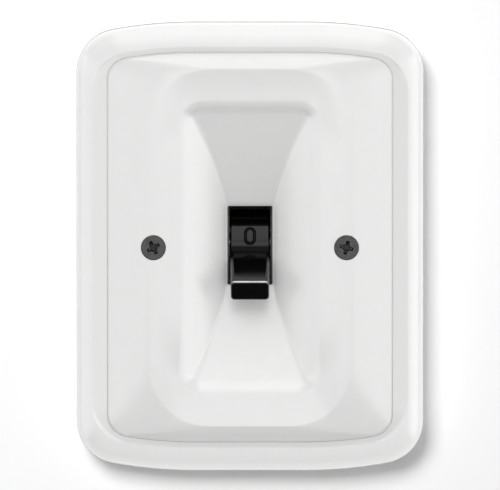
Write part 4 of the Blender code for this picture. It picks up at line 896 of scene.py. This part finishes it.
def makeStage():
    # The wall is a square sheet, seen only from the front. Behind the frame it has a square hole,
    # so that the metal inside reflects the studio when it is seen from behind.
    s = stageLook
    angle = np.linspace(0, math.tau, 96, endpoint=False)
    ring = np.stack([np.cos(angle), 0 * angle, np.sin(angle)], -1)
    square = ring / np.abs(ring).max(1, keepdims=True)
    points = np.stack([square * s["holeHalf"], square * s["wallHalf"]])
    points[..., 1] = s["wallY"]
    wall = gridObject("backWall", points)
    if wall.data.polygons[0].normal.y > 0:
        wall.data.flip_normals()
    wall.data.materials.append(stageMaterial("wallPaint", s["wallColor"], frontOnly=True))
    depth, low, side = -s["floorDepth"], s["floorZ"], s["wallHalf"]
    corners = np.array([[[-side, y, low], [side, y, low]] for y in (depth, 0.0)])
    floor = gridObject("paleFloor", corners, closeAround=False)
    floor.data.materials.append(stageMaterial("floorPaint", s["floorColor"]))
    wall.visible_shadow = False  # the lamp behind it reaches the piece's back


def makeLamp(name, plan):
    # A square lamp that looks at the object's middle and that the gloss doesn't see.
    light = bpy.data.lights.new(name, "AREA")
    light.shape = "SQUARE"
    light.size = plan["size"]
    light.energy = plan["power"]
    item = addObject(name, light)
    item.location = plan["place"]
    x, y, z = (-value for value in plan["place"])
    item.rotation_euler = (math.pi / 2 + math.atan2(z, math.hypot(x, y)), 0.0, -math.atan2(x, y))
    item.visible_glossy = False
    return item


# The lamps by what they light: "object" is all but the wall, the others are that thing alone.
# The two at the cover's sides light the funnel's walls more than the face. Where leverShadow is
# False, the lever throws no shadow.
lampPlan = {
    "object": {
        "topLamp": {"place": (-0.1, -0.3, 0.95), "size": 1.1, "power": 4.5},
        "frontLamp": {"place": (0.0, -1.8, 0.0), "size": 1.8, "power": 2.8},
        "rightLamp": {"place": (0.85, -0.7, 0.0), "size": 2.1, "power": 5.0, "leverShadow": False},
        "leftLamp": {"place": (-0.85, -0.7, 0.0), "size": 2.1, "power": 4.6, "leverShadow": False},
        "rearLamp": {"place": (0.5, 0.9, 0.6), "size": 0.6, "power": 5.0},
    },
    "cover": {
        "coverRightLamp": {"place": (1.0, -0.5, 0.0), "size": 0.8, "power": 2.1,
                           "leverShadow": False},
        "coverLeftLamp": {"place": (-1.0, -0.5, 0.0), "size": 0.8, "power": 1.35,
                          "leverShadow": False},
    },
    "frame": {
        "frameLowLamp": {"place": (0.0, -0.35, -0.95), "size": 0.9, "power": 2.8},
        "frameRightLamp": {"place": (0.95, -0.35, 0.0), "size": 0.9, "power": 2.2},
        "frameLeftLamp": {"place": (-0.95, -0.35, 0.0), "size": 0.9, "power": 0.7},
    },
    "wall": {
        "wallLamp": {"place": (-0.345, -1.0, 0.52), "size": 0.55, "power": 12.0},
        "wallFill": {"place": (0.0, -2.2, 0.3), "size": 2.2, "power": 5.0},
    },
}
# Softboxes of the studio as the gloss sees them. Lean is the angle from the camera's side and
# clock the direction round it, 0 up and 90 to the right, both in degrees; soft blurs the edges.
# A twin has a mirrored one at the left.
softboxes = {
    "front": {"lean": (-9.0, 7.0), "clock": (-200.0, 200.0), "soft": 6.0, "glow": 3.4},
    "right": {"lean": (8.0, 150.0), "clock": (60.0, 125.0), "soft": 8.0, "glow": 3.3},
    "rightMore": {"lean": (38.0, 75.0), "clock": (60.0, 125.0), "soft": 14.0, "glow": 0.9},
    "left": {"lean": (8.0, 150.0), "clock": (-125.0, -60.0), "soft": 8.0, "glow": 2.7},
    "upper": {"lean": (8.0, 60.0), "clock": (-58.0, 62.0), "soft": 9.0, "glow": 1.1},
    "top": {"lean": (8.0, 125.0), "clock": (-14.0, 14.0), "soft": 7.0, "glow": 2.2},
    "under": {"lean": (8.0, 48.0), "clock": (125.0, 200.0), "soft": 12.0, "glow": 0.55, "twin": True},
    "back": {"lean": (152.0, 200.0), "clock": (-200.0, 200.0), "soft": 12.0, "glow": 0.8},
    "low": {"lean": (85.0, 130.0), "clock": (158.0, 190.0), "soft": 9.0, "glow": 2.0, "twin": True},
}
ambient = {"below": 0.05, "above": 0.46, "gloss": 0.02}


def bandShare(g, value, limits, soft):
    # 1 between the limits and 0 outside, with edges as wide as soft.
    shares = [g.span(value, edge - soft / 2, edge + soft / 2, outside, 1.0 - outside,
                     interpolation_type="SMOOTHSTEP") for edge, outside in zip(limits, (0.0, 1.0))]
    return g.math("MULTIPLY", *shares)


def makeWorld():
    world = bpy.data.worlds.new("studio")
    bpy.context.scene.world = world
    world.use_nodes = True
    g = Graph(world.node_tree)
    background = world.node_tree.nodes["Background"]
    sides = g.axes(g.node("ShaderNodeTexCoord").outputs["Generated"])
    degree = 180.0 / math.pi
    lean = g.math("MULTIPLY", g.math("ARCCOSINE", g.math("MULTIPLY", sides["Y"], -1.0)), degree)
    clock = g.math("MULTIPLY", g.math("ARCTAN2", sides["X"], sides["Z"]), degree)
    total = ambient["gloss"]
    for plan in softboxes.values():
        turn = g.math("ABSOLUTE", clock) if plan.get("twin") else clock
        share = g.math("MULTIPLY", bandShare(g, lean, plan["lean"], plan["soft"]),
                       bandShare(g, turn, plan["clock"], plan["soft"]))
        total = g.math("ADD", g.math("MULTIPLY", share, plan["glow"]), total)
    glossy = g.node("ShaderNodeLightPath").outputs["Is Glossy Ray"]
    dim = g.span(sides["Z"], -1.0, 1.0, ambient["below"], ambient["above"])
    plain = g.math("MULTIPLY", g.math("SUBTRACT", 1.0, glossy), dim)
    strength = g.math("ADD", g.math("MULTIPLY", total, glossy), plain)
    g.fill(background, {"Color": (1.0, 1.0, 1.0), "Strength": strength})


def linkSet(name, members, leftOut=False):
    # A collection for light linking: these objects alone, or all but these.
    made = bpy.data.collections.new(name)
    for member in members:
        made.objects.link(bpy.data.objects[member])
    for link in made.collection_objects:
        link.light_linking.link_state = "EXCLUDE" if leftOut else "INCLUDE"
    return made


def makeLights():
    # The wall has lamps of its own, so that the frame's shadow falls to the right and below, and
    # the side lamps' shadows of the lever are left out, because the photo has only faint ones.
    receivers = {"object": linkSet("notTheWall", ["backWall"], leftOut=True),
                 "cover": linkSet("onlyTheCover", ["frontCover"]),
                 "frame": linkSet("onlyTheFrame", ["surroundFrame"]),
                 "wall": linkSet("onlyTheWall", ["backWall"])}
    leverLess = linkSet("notTheLever", ["leverDrum", "leverHandle"], leftOut=True)
    for target, plans in lampPlan.items():
        for name, plan in plans.items():
            lamp = makeLamp(name, plan)
            lamp.light_linking.receiver_collection = receivers[target]
            if not plan.get("leverShadow", True):
                lamp.light_linking.blocker_collection = leverLess


# The picture is frameWidth wide in the plane that lies planeOut in front of the wall.
cameraLook = {"distance": 2.5, "elevation": 3.6, "sensor": 36.0, "frameWidth": 0.1298,
              "planeOut": 0.004, "aside": 0.00001}


def makeCamera():
    c = cameraLook
    camera = bpy.data.cameras.new("camera")
    camera.sensor_width = c["sensor"]
    camera.lens = c["sensor"] * (c["distance"] - c["planeOut"]) / c["frameWidth"]
    camera.clip_end = 20.0
    item = addObject("camera", camera)
    rise = math.radians(c["elevation"])
    item.location = (c["aside"], -c["distance"] * math.cos(rise), c["distance"] * math.sin(rise))
    item.rotation_euler = (math.pi / 2 - rise, 0.0, 0.0)
    bpy.context.scene.camera = item


makeStage()
makeLights()
makeWorld()
makeCamera()
bpy.context.scene.view_settings.view_transform = "Standard"
print("stage: studio set")
